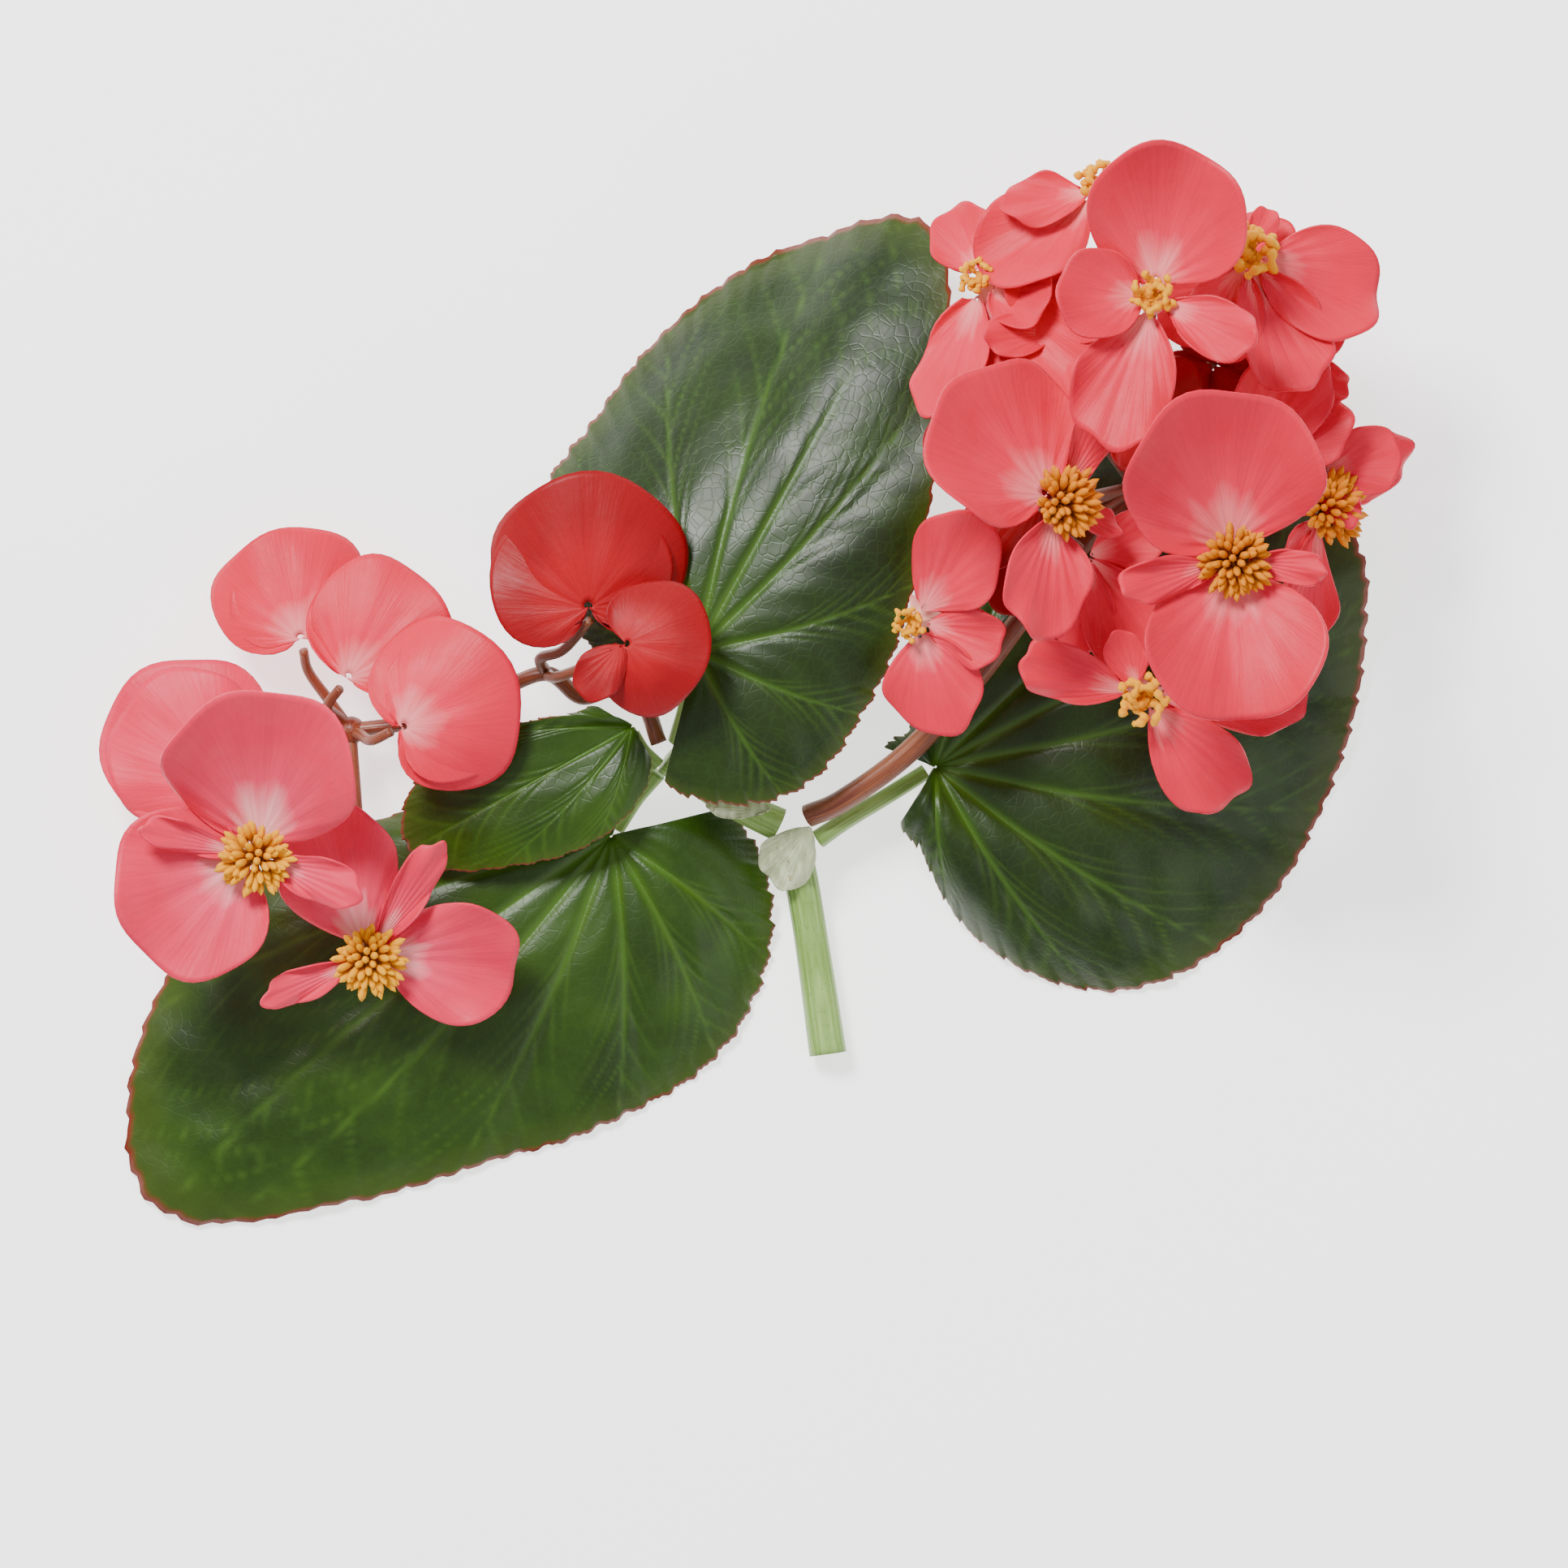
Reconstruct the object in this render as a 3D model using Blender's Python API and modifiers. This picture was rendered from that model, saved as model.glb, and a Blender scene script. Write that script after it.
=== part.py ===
"""Cut begonia sprig lying on a flat surface: leaves, stalks and flower clusters as separate solids.

Units are metres, +Z is up, and the surface that the sprig lies on is z = 0. The tables below are in
millimetres, in the plan view of the sprig: +X to the right cluster, +Y away from the cut end.
"""
import math

import bmesh
import bpy
import numpy as np
from mathutils import Matrix, Vector

MM = 0.001
COLLECTION = "begonia_sprig"
ORIGIN = (-1.98, -1.28, 0.02)        # point of the plan that becomes the part's origin, mm

GAP = 0.35                        # clearance between neighbouring pieces, mm
LEAF_THICKNESS = 0.8
LEAF_REST = 0.05                  # the lowest a leaf's underside comes
TEPAL_THICKNESS = 0.6
BASE_SHARE = 0.05                 # a blade starts this share of its length out from its attachment
RECEPTACLE = 1.5                  # radius of the joint that carries a flower's tepals
OVARY_LENGTH = 7.0
PEDICEL_RADII = (0.9, 0.7)
BUD_EYE = 0.4                     # radius of the small eye in the middle of a bud
BUD_SETBACK = 0.6                 # a bud's stalk ends this much further back
RING_COLUMNS = 20                 # stretches once round a flower whose tepals are one solid

COLOURS = {
    "leaf": (0.045, 0.10, 0.02), "leaf_light": (0.10, 0.18, 0.03), "stem": (0.35, 0.50, 0.20),
    "stalk": (0.28, 0.10, 0.05), "coral": (0.85, 0.09, 0.10), "pink": (0.90, 0.12, 0.16),
    "red": (0.55, 0.01, 0.015), "yellow": (0.90, 0.55, 0.03), "papery": (0.62, 0.66, 0.42),
}
ROUGHNESS = {"leaf": 0.30, "leaf_light": 0.38, "yellow": 0.6, "papery": 0.7}

# Leaf rims: angle from the line to the tip (degrees, counterclockwise), radius and height.
LEAVES = {
    "leaf_upper": dict(
        base=(-9.0, 4.0, 22.0), heading=61.0, arch=2.0, slot="leaf", rim=(
            (-165, 20, 20), (-114, 25, 20), (-80, 26, 21), (-60, 29, 22), (-39, 35, 23), (-26, 42, 23),
            (-14, 52, 20), (0, 71, 12), (14, 63, 2), (36, 47, 1), (52, 38, 3), (71, 33, 7),
            (101, 20, 15), (130, 13, 20), (160, 12, 21))),
    "leaf_left": dict(
        base=(-21.6, -23.0, 8.0), heading=-141.0, arch=3.0, slot="leaf_light", rim=(
            (-150, 12, 9), (-90, 15, 7), (-64, 18, 6), (-48, 28, 5), (-27, 61, 2), (-13, 79, 1),
            (0, 87, 1), (15, 67, 1.5), (27, 54, 1), (46, 44, 1), (76, 36, 1), (112, 27, 2),
            (155, 17, 5))),
    "leaf_young": dict(
        base=(-18.5, -7.0, 16.0), heading=-151.0, arch=2.0, slot="leaf_light", rim=(
            (-60, 6, 17), (-34, 13, 18), (-20, 29, 14), (0, 37.5, 11), (22, 26, 14), (54, 14, 16),
            (93, 5, 16))),
    "leaf_right": dict(
        base=(25.9, -12.9, 9.0), heading=28.0, arch=4.0, slot="leaf", rim=(
            (-150, 10, 8), (-123, 14, 6), (-104, 26, 2), (-77, 43.5, 1), (-54, 52, 1), (-33, 58, 1),
            (-12, 66, 4), (0, 70.5, 9), (16, 66, 1), (36, 54, 1), (56, 31, 6), (88, 9, 10),
            (130, 8, 10))),
}


def tepal(name, yaw, rise, length, spread, power=0.7, cup=0.25, curl=10.0, lift=0.0):
    return dict(name=name, yaw=yaw, rise=rise, length=length, spread=spread, power=power, cup=cup,
                curl=curl, lift=lift)


# Flowers: place of the centre, facing (azimuth, tilt from straight up), kind, tepals.
STIPULES = {
    "stipule_front": dict(at=(7.6, -21.6, 11.6), spec=tepal("front", -124, -8, 11.5, 50, 0.6, -0.25, -36)),
    "stipule_rear": dict(at=(1.8, -19.0, 13.6), spec=tepal("rear", 172, 0, 9.5, 34, 0.6, -0.2, -10)),
}

FLOWERS = {
    "left_front": dict(at=(-72.6, -25.9, 30.0), face=(-120, 8), kind="male", apart=True, slot="pink",
                       head=(3.4, 3.2, 2.2), tepals=(
        tepal("upper", 82, 18, 27.0, 86, 0.8, 0.30, 18),
        tepal("lower", -152, 10, 20.5, 98, 0.6, 0.1, 14),
        tepal("side_left", 162, 22, 16.0, 23, 0.8, 0.1, 0, 1.1),
        tepal("side_right", -18, 14, 15.0, 34, 0.8, 0.1, 0, 0.9))),
    "left_lower": dict(at=(-56.9, -40.5, 21.0), face=(-70, 14), kind="male", apart=True, slot="pink",
                       head=(3.2, 3.0, 2.2), tepals=(
        tepal("upper", 108, 4, 22.0, 62, 0.8, 0.2, -6),
        tepal("right", -3, 4, 20.5, 68, 0.75, 0.2, -6),
        tepal("side_upper", 60, 10, 19.5, 22, 0.8, 0.2, 4, 0.9),
        tepal("side_lower", -160, 10, 15.0, 25, 0.8, 0.2, 4, 0.9))),
    "left_outer": dict(at=(-77.0, -16.0, 16.0), face=(0, 0), kind="bud", slot="pink", tepals=(
        tepal("front", 140, 12, 20.0, 96, 0.65, -0.2, -30),
        tepal("rear", 135, -4, 22.0, 98, 0.65, -0.1, -16))),
    "left_back": dict(at=(-67.0, 5.6, 14.0), face=(0, 0), kind="bud", slot="coral", tepals=(
        tepal("front", 104, 6, 17.0, 112, 0.6, -0.25, -30),
        tepal("rear", 100, -14, 15.0, 105, 0.6, -0.1, -10))),
    "left_top": dict(at=(-60.4, -0.2, 17.0), face=(0, 0), kind="bud", slot="coral", tepals=(
        tepal("front", 52, 16, 19.0, 92, 0.6, -0.25, -36),
        tepal("rear", 56, -4, 18.0, 92, 0.6, -0.1, -16))),
    "left_inner": dict(at=(-52.2, -7.2, 23.0), face=(0, 0), kind="bud", slot="coral", tepals=(
        tepal("front", 27, 12, 18.5, 140, 0.9, -0.22, -30),
        tepal("rear", 20, -6, 16.0, 120, 0.8, -0.1, -20))),
    "red_upper": dict(at=(-24.6, 9.9, 28.0), face=(0, 0), kind="bud", slot="red", tepals=(
        tepal("front", 90, 14, 19.5, 148, 0.75, -0.22, -26),
        tepal("rear", 104, 2, 17.0, 150, 0.6, -0.1, -12))),
    "red_lower": dict(at=(-19.5, 5.0, 34.0), face=(0, 0), stalk=(0.55, 0.35, 0.75), kind="bud", slot="red", tepals=(
        tepal("front", -8, 12, 12.5, 150, 0.55, -0.25, -30),
        tepal("small", -128, 10, 9.5, 60, 0.8, -0.2, -20))),
    "crown": dict(at=(56.4, 54.0, 53.0), face=(95, 8), kind="female", apart=True, slot="coral",
                  head=(3.0, 2.8, 2.0), tepals=(
        tepal("upper", 80, 20, 20.5, 84, 0.8, 0.3, 24),
        tepal("left", -178, 18, 12.5, 72, 0.7, 0.3, 10, 0.9),
        tepal("lower", -108, 8, 20.0, 46, 0.66, 0.25, -10),
        tepal("right", -30, 14, 14.5, 40, 0.8, 0.3, 10, 0.9))),
    "right_upper": dict(at=(70.3, 60.8, 40.0), face=(40, 20), kind="female", slot="coral",
                        head=(4.0, 3.6, 2.2), tepals=(
        tepal("right", -22, 6, 18.0, 62, 0.7, 0.25, 0),
        tepal("lower", -70, 4, 19.0, 48, 0.7, 0.3, 6),
        tepal("left", -112, -2, 14.0, 55, 0.7, 0.2, 0),
        tepal("upper", 60, 0, 6.0, 50, 0.8, 0.2, 0))),
    "back": dict(at=(49.5, 70.8, 30.0), face=(95, 30), kind="female", slot="coral",
                 head=(2.6, 3.2, 2.0), tepals=(
        tepal("left", 195, 6, 12.0, 50, 0.8, 0.2, 0),
        tepal("lower", -75, 4, 8.0, 50, 0.8, 0.2, 0),
        tepal("rear", 215, -10, 18.0, 58, 0.7, 0.2, -6))),
    "side_upper": dict(at=(32.4, 57.4, 27.0), face=(140, 30), kind="female", slot="coral",
                       head=(1.6, 2.6, 2.0), tepals=(
        tepal("upper", 112, 6, 10.5, 66, 0.7, 0.25, 0),
        tepal("right", -25, 8, 11.0, 62, 0.7, 0.3, 10),
        tepal("lower", -104, 6, 19.0, 40, 0.75, 0.2, 0),
        tepal("rear", -48, -8, 20.0, 62, 0.7, 0.1, 0))),
    "side_lower": dict(at=(22.6, 8.2, 31.0), face=(-150, 22), kind="female", slot="coral",
                       head=(2.2, 2.4, 2.0), tepals=(
        tepal("upper", 52, 10, 17.5, 52, 0.65, 0.25, 6),
        tepal("middle", -12, 4, 11.5, 50, 0.65, 0.2, 0),
        tepal("lower", -72, 4, 14.5, 66, 0.65, 0.2, -10))),
    "centre": dict(at=(42.8, 24.8, 48.0), face=(8, 32), kind="male", apart=True, slot="coral",
                   head=(3.0, 3.2, 2.2), tepals=(
        tepal("left", 140, -6, 21.0, 84, 0.62, 0.25, 8),
        tepal("lower", -106, 10, 17.5, 48, 0.6, 0.3, -14),
        tepal("side_upper", 68, 20, 15.0, 34, 0.8, 0.2, 6, 0.9),
        tepal("side_lower", -20, 0, 8.5, 32, 0.8, 0.2, 0, 0.9))),
    "front": dict(at=(67.9, 16.7, 51.0), face=(-60, 8), kind="male", apart=True, slot="coral",
                  head=(3.0, 2.8, 2.2), tepals=(
        tepal("upper", 102, 16, 24.5, 84, 0.7, 0.32, 16),
        tepal("lower", -92, 14, 21.0, 94, 0.62, 0.32, 10),
        tepal("side_left", -168, 22, 15.5, 28, 0.8, 0.1, 0, 1.1),
        tepal("side_right", -6, 16, 11.0, 30, 0.8, 0.2, 0, 0.9))),
    "right_edge": dict(at=(81.5, 24.5, 29.0), face=(0, 40), kind="male", slot="coral",
                       head=(3.4, 3.0, 2.4), tepals=(
        tepal("right", 30, 0, 17.0, 34, 0.8, 0.2, 0),
        tepal("upper", 100, -2, 10.0, 50, 0.7, 0.2, 0),
        tepal("left", -125, -4, 8.0, 45, 0.7, 0.2, 0),
        tepal("lower", -98, -6, 20.0, 32, 0.7, 0.2, 0))),
    "bottom": dict(at=(55.2, -2.6, 38.0), face=(-80, 14), kind="female", slot="coral",
                   head=(3.4, 3.2, 2.2), tepals=(
        tepal("left", 162, 6, 16.0, 34, 0.7, 0.2, 0),
        tepal("upper", 112, 4, 8.0, 50, 0.8, 0.2, 0),
        tepal("lower", -50, 4, 18.5, 42, 0.6, 0.25, -14),
        tepal("right", -4, -2, 21.0, 28, 0.7, 0.2, 0))),
    "ruffled": dict(at=(71.0, 31.0, 36.0), face=(0, 0), kind="bud", slot="coral", tepals=(
        tepal("front", 62, 6, 17.0, 50, 0.65, 0.2, 0),
        tepal("rear", 30, -6, 15.0, 50, 0.65, 0.2, 0))),
    "nodding": dict(at=(47.5, 17.5, 37.0), face=(0, 0), kind="bud", slot="coral", tepals=(
        tepal("front", -92, 4, 13.5, 38, 0.6, -0.4, -30),
        tepal("rear", -62, -8, 17.0, 44, 0.7, 0.1, 0),
        tepal("side", 20, 0, 11.0, 50, 0.7, 0.1, 0))),
    "shaded": dict(at=(41.6, 27.4, 36.0), face=(180, 6), kind="bud", slot="red", tepals=(
        tepal("upper", 142, 0, 19.0, 60, 0.7, 0.2, -6),
        tepal("lower", -140, -4, 14.0, 50, 0.7, 0.2, 0),
        tepal("top", 70, 0, 10.0, 50, 0.7, 0.2, 0))),
}

RIGHT_HUB = (55.0, 27.9, 22.0)
LEFT_HUB = (-60.0, -7.5, 9.0)
RIGHT_CLUSTER = ("crown", "right_upper", "back", "side_upper", "side_lower", "centre", "front",
                 "right_edge", "bottom", "ruffled", "nodding", "shaded")
LEFT_CLUSTER = ("left_front", "left_lower", "left_outer", "left_back", "left_top",
                "left_inner")

# Stalks: route points and radii at the two ends.
STALKS = {
    "stem_lower": dict(slot="stem", radii=(2.7, 2.5), route=(
        (10.3, -55.2, 2.75), (8.6, -43.4, 2.75), (6.8, -32.0, 3.8), (5.4, -24.8, 6.0))),
    "stem_upper": dict(slot="stem", radii=(2.4, 2.1), route=(
        (2.9, -21.3, 8.2), (-4.7, -17.6, 9.5), (-13.6, -11.8, 11.5))),
    "petiole_right": dict(slot="stem", radii=(1.4, 1.2), route=(
        (8.8, -23.5, 7.2), (12.5, -21.0, 8.0), (18.5, -17.4, 7.6), (24.6, -13.6, 7.1))),
    "petiole_left": dict(slot="stem", radii=(1.3, 1.1), route=(
        (-14.9, -13.7, 9.4), (-18.0, -17.5, 7.6), (-20.8, -21.9, 5.8))),
    "petiole_upper": dict(slot="stem", radii=(1.3, 1.1), route=(
        (-11.9, -9.0, 13.2), (-10.6, -4.0, 17.4), (-9.6, 2.2, 20.0))),
    "petiole_young": dict(slot="stem", radii=(1.2, 1.0), route=(
        (-15.0, -12.6, 12.5), (-17.0, -10.4, 13.6), (-18.4, -8.0, 13.9))),
}
PEDUNCLES = {
    "peduncle_right": dict(slot="stalk", radii=(1.7, 1.5), flowers=RIGHT_CLUSTER, hub=RIGHT_HUB, route=(
        (7.2, -20.0, 10.2), (12.5, -17.6, 12.2), (22.0, -10.6, 14.0), (31.5, -0.2, 16.0),
        (40.0, 11.0, 18.5), (50.0, 23.0, 21.0))),
    "peduncle_left": dict(slot="stalk", radii=(1.2, 1.1), flowers=LEFT_CLUSTER, hub=LEFT_HUB, route=(
        (-14.6, -9.4, 15.0), (-17.0, -3.4, 15.3), (-21.5, -1.6, 14.8), (-26.1, -2.6, 14.4), (-31.0, 0.8, 14.4),
        (-38.0, -1.5, 12.8), (-50.0, -6.0, 10.5))),
}

# Two flowers leave the left peduncle on the way: the points where their own stalks pass.
BRANCHES = {
    "red_upper": ((-31.0, 0.8, 14.4), (-31.8, 3.0, 19.0), (-28.4, 4.2, 22.8)),
    "red_lower": ((-31.0, 0.8, 14.4), (-29.6, 0.2, 20.0), (-24.5, 2.0, 26.0)),
}


# ---------------------------------------------------------------- helpers

def plan(point):
    """A point of the tables, in metres from the part's origin."""
    return (Vector(point) - Vector(ORIGIN)) * MM


def smooth_route(points, steps=3):
    """Catmull-Rom points through a route, with a few steps on each stretch."""
    pts = [Vector(p) for p in points]
    pts = [2 * pts[0] - pts[1]] + pts + [2 * pts[-1] - pts[-2]]
    out = []
    for a, b, c, d in zip(pts, pts[1:], pts[2:], pts[3:]):
        for k in range(steps):
            t = k / steps
            out.append(0.5 * (2 * b + (c - a) * t + (2 * a - 5 * b + 4 * c - d) * t ** 2
                              + (3 * b - a - 3 * c + d) * t ** 3))
    return out + [pts[-2]]


def rim_curve(rim):
    """Functions of the angle for a leaf's rim: its radius and its height, smooth between points."""
    angles, radii, heights = (np.array(column, float) for column in zip(*rim))
    slopes_r, slopes_h = np.gradient(radii, angles), np.gradient(heights, angles)

    def hermite(values, slopes, angle):
        i = int(np.clip(np.searchsorted(angles, angle) - 1, 0, len(angles) - 2))
        width = angles[i + 1] - angles[i]
        t = (angle - angles[i]) / width
        return float(values[i] * (1 + 2 * t) * (1 - t) ** 2 + values[i + 1] * t * t * (3 - 2 * t)
                     + width * t * (1 - t) * (slopes[i] * (1 - t) - slopes[i + 1] * t))

    return (lambda a: hermite(radii, slopes_r, a)), (lambda a: hermite(heights, slopes_h, a))


def bend(distance, length, degrees):
    """A straight run of the given length bent into an arc: (along, up) at this distance."""
    total = math.radians(degrees)
    if abs(total) < 1e-4:
        return distance, 0.0
    angle = total * distance / length
    return length / total * math.sin(angle), length / total * (1 - math.cos(angle))


def blade(name, surface, rows, columns, thickness, closed=False):
    """A thin blade: a grid laid along surface(u, v), u from 0 to 1 and v from -1 to 1."""
    grid = bmesh.new()
    bmesh.ops.create_grid(grid, x_segments=rows, y_segments=columns, size=1.0)
    for vert in grid.verts:
        vert.co = plan(surface((vert.co.x + 1) / 2, vert.co.y))
    if closed:
        bmesh.ops.remove_doubles(grid, verts=grid.verts, dist=1e-6)
    mesh = bpy.data.meshes.new(name)
    grid.to_mesh(mesh)
    grid.free()
    piece = bpy.data.objects.new(name, mesh)
    parts.objects.link(piece)
    shell = piece.modifiers.new("thickness", "SOLIDIFY")
    shell.thickness, shell.offset = thickness * MM, -1.0
    return piece


def solid_copy(piece, name=None, welded=True):
    """The evaluated mesh of an object, welded, as a plain object in its place."""
    bpy.context.view_layer.update()
    source = piece.evaluated_get(bpy.context.evaluated_depsgraph_get())
    mesh = bpy.data.meshes.new_from_object(source)
    matrix = piece.matrix_world.copy()
    name = name or piece.name
    bpy.data.objects.remove(piece)
    weld = bmesh.new()
    weld.from_mesh(mesh)
    if welded:
        bmesh.ops.remove_doubles(weld, verts=weld.verts, dist=1e-6)
    weld.to_mesh(mesh)
    weld.free()
    mesh.name = name
    out = bpy.data.objects.new(name, mesh)
    out.matrix_world = matrix
    parts.objects.link(out)
    return out


def tube(name, route, radii, steps=3, sides=2):
    """A round stalk through the route, tapering evenly from the first radius to the second."""
    points = smooth_route(route, steps)
    curve = bpy.data.curves.new(name, "CURVE")
    curve.dimensions = "3D"
    curve.bevel_depth, curve.bevel_resolution, curve.use_fill_caps = radii[0] * MM, sides, True
    line = curve.splines.new("POLY")
    line.points.add(len(points) - 1)
    for i, point in enumerate(points):
        line.points[i].co = (*plan(point), 1.0)
        line.points[i].radius = 1 + (radii[1] / radii[0] - 1) * i / (len(points) - 1)
    piece = bpy.data.objects.new(name, curve)
    parts.objects.link(piece)
    return solid_copy(piece)


def ball(name, centre, half_sizes, axis=(0, 0, 1), segments=8, rings=5):
    """A squashed ball whose third half size lies along the axis."""
    lump = bmesh.new()
    bmesh.ops.create_uvsphere(lump, u_segments=segments, v_segments=rings, radius=1.0)
    turn = Vector((0, 0, 1)).rotation_difference(Vector(axis)).to_matrix().to_4x4()
    size = Matrix.Diagonal((*[h * MM for h in half_sizes], 1.0))
    lump.transform(Matrix.Translation(plan(centre)) @ turn @ size)
    mesh = bpy.data.meshes.new(name)
    lump.to_mesh(mesh)
    lump.free()
    piece = bpy.data.objects.new(name, mesh)
    parts.objects.link(piece)
    return piece


def outer_shell(piece):
    """Keeps the largest connected shell, so that pockets between crossing blades are filled."""
    shells = bmesh.new()
    shells.from_mesh(piece.data)
    loose, groups = set(shells.verts), []
    while loose:
        edge_of_group, group = [loose.pop()], set()
        while edge_of_group:
            vert = edge_of_group.pop()
            group.add(vert)
            for edge in vert.link_edges:
                other = edge.other_vert(vert)
                if other in loose:
                    loose.remove(other)
                    edge_of_group.append(other)
        groups.append(group)
    keep = max(groups, key=len)
    spare = [v for group in groups if group is not keep for v in group]
    bmesh.ops.delete(shells, geom=spare, context="VERTS")
    bmesh.ops.dissolve_degenerate(shells, dist=2e-6, edges=shells.edges)
    bmesh.ops.triangulate(shells, faces=shells.faces)
    shells.to_mesh(piece.data)
    shells.free()


def join(pieces, name):
    """One solid from several overlapping ones."""
    base = solid_copy(pieces[0], name)
    for other in pieces[1:]:
        union = base.modifiers.new("join", "BOOLEAN")
        union.operation, union.solver, union.object = "UNION", "MANIFOLD", other
        base = solid_copy(base, name, welded=False)
        bpy.data.objects.remove(other)
    outer_shell(base)
    return base


def paint(piece, slot):
    """Gives the piece its own material in the slot's colour."""
    material = bpy.data.materials.new(piece.name)
    material.use_nodes = True
    shader = material.node_tree.nodes["Principled BSDF"]
    shader.inputs["Base Color"].default_value = (*COLOURS[slot], 1.0)
    shader.inputs["Roughness"].default_value = ROUGHNESS.get(slot, 0.45)
    piece.data.materials.clear()
    piece.data.materials.append(material)
    piece.data.shade_smooth()


# ---------------------------------------------------------------- leaves

def leaf(name, base, heading, rim, arch, slot):
    """A lopsided leaf blade whose rim follows the table and whose middle arches over its edges."""
    radius, height = rim_curve(rim)
    first, last = rim[0][0], rim[-1][0]

    def surface(u, v):
        angle = first * -v if v < 0 else last * v
        share = BASE_SHARE + (1 - BASE_SHARE) * u
        reach = share * radius(angle)
        turn = math.radians(heading + angle)
        z = base[2] + (height(angle) - base[2]) * share ** 2 + arch * 3 * share * (1 - share)
        return (base[0] + reach * math.cos(turn), base[1] + reach * math.sin(turn),
                max(z, LEAF_THICKNESS + LEAF_REST))

    paint(blade(name, surface, 5, 16, LEAF_THICKNESS), slot)


# ---------------------------------------------------------------- flowers

def flower_axes(azimuth, tilt):
    """The flower's two plan directions, turned with its face, and the way it faces."""
    a, t = math.radians(azimuth), math.radians(tilt)
    face = Vector((math.sin(t) * math.cos(a), math.sin(t) * math.sin(a), math.cos(t)))
    turn = Vector((0, 0, 1)).rotation_difference(face)
    return turn @ Vector((1, 0, 0)), turn @ Vector((0, 1, 0)), face


def outline(spec, angle):
    """How far a tepal reaches at this angle from its middle line, in degrees."""
    turn = 90 * min(abs(angle) / spec["spread"], 0.97)
    return spec["length"] * math.cos(math.radians(turn)) ** spec["power"]


def tepal_point(at, axes, spec, start, reach, angle):
    """A point of the tepal's inner face, this far out and at this angle from its middle line."""
    across_x, across_y, face = axes
    yaw, rise = math.radians(spec["yaw"]), math.radians(spec["rise"])
    out = across_x * math.cos(yaw) + across_y * math.sin(yaw)
    side = face.cross(out)
    along = out * math.cos(rise) + face * math.sin(rise)
    up = face * math.cos(rise) - out * math.sin(rise)
    length = spec["length"]
    x, y = reach * math.cos(math.radians(angle)), reach * math.sin(math.radians(angle))
    ahead, lifted = bend(x, length, spec["curl"])
    bowl = spec["cup"] * (y / length) ** 2 * length * 2
    origin = Vector(at) + out * start + face * spec["lift"]
    return origin + along * ahead + side * y + up * (lifted + bowl)


def free_tepal(at, axes, spec, start):
    """A free tepal as a function of u along it and v across it."""
    def surface(u, v):
        angle = v * spec["spread"] * 0.97
        reach = outline(spec, angle) * (BASE_SHARE + (1 - BASE_SHARE) * u)
        return tepal_point(at, axes, spec, start, reach, angle)

    return surface


def joined_tepals(at, axes, tepals, inner):
    """All tepals of a flower as one lobed ring: u from the inner radius out, v once round."""
    def surface(u, v):
        around = v * 180
        rows = []
        for spec in tepals:
            angle = (around - spec["yaw"] + 180) % 360 - 180
            own = outline(spec, angle) if abs(angle) < spec["spread"] else 0.1
            rows.append((own, angle, spec))
        reach = max(inner + 1.5, max(row[0] for row in rows))
        total, point = 0.0, Vector((0, 0, 0))
        for own, angle, spec in rows:
            weight = own ** 4
            total += weight
            flat = dict(spec, lift=0.0)
            point += tepal_point(at, axes, flat, 0.0, inner + (reach - inner) * u, angle) * weight
        return point / total

    return surface


def flower(name, at, face, kind, tepals, slot, head=None, apart=False, stalk=None):
    """Tepals round a receptacle, which carries an ovary behind it and stamens or stigmas in front.

    A flower that is apart has a solid for each tepal, and the others have one solid for them all.
    A bud shows no receptacle of its own.
    """
    axes = flower_axes(*face)
    start = RECEPTACLE + GAP
    if apart:
        for spec in tepals:
            label = f"{name}_tepal_{spec['name']}"
            paint(blade(label, free_tepal(at, axes, spec, start), 3, 6, TEPAL_THICKNESS), slot)
    else:
        inner = start if head else BUD_EYE
        ring = blade(f"{name}_tepals", joined_tepals(at, axes, tepals, inner), 3, RING_COLUMNS,
                     TEPAL_THICKNESS, closed=True)
        paint(ring, slot)
    if not head:
        return
    middle = [ball("receptacle", at, (RECEPTACLE, RECEPTACLE, 1.1), axes[2], 8, 4)]
    if kind == "female":
        behind = Vector(at) - axes[2] * (OVARY_LENGTH * 0.5 + 0.6)
        middle.append(ball("ovary", behind, (2.2, 1.5, OVARY_LENGTH / 2), axes[2], 8, 5))
    middle.append(ball("head", Vector(at) + axes[2] * (head[2] + 0.9), head, axes[2]))
    paint(join(middle, f"{name}_{'stigmas' if kind == 'female' else 'stamens'}"), "yellow")


def back_of(name):
    """Where a flower's stalk ends, and the way it comes in from behind."""
    spec = FLOWERS[name]
    face = flower_axes(*spec["face"])[2]
    if "stalk" in spec:
        face = Vector(spec["stalk"]).normalized()
    elif spec["kind"] == "bud":
        turns = [math.radians(t["yaw"]) for t in spec["tepals"]]
        inward = Vector((sum(math.cos(t) for t in turns), sum(math.sin(t) for t in turns), 0)).normalized()
        face = (inward * 0.8 + face * 0.6).normalized()
    depth = OVARY_LENGTH + 0.6 if spec["kind"] == "female" else 1.1
    depth += BUD_SETBACK if spec["kind"] == "bud" else 0.0
    return Vector(spec["at"]) - face * (depth + GAP), face


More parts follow.
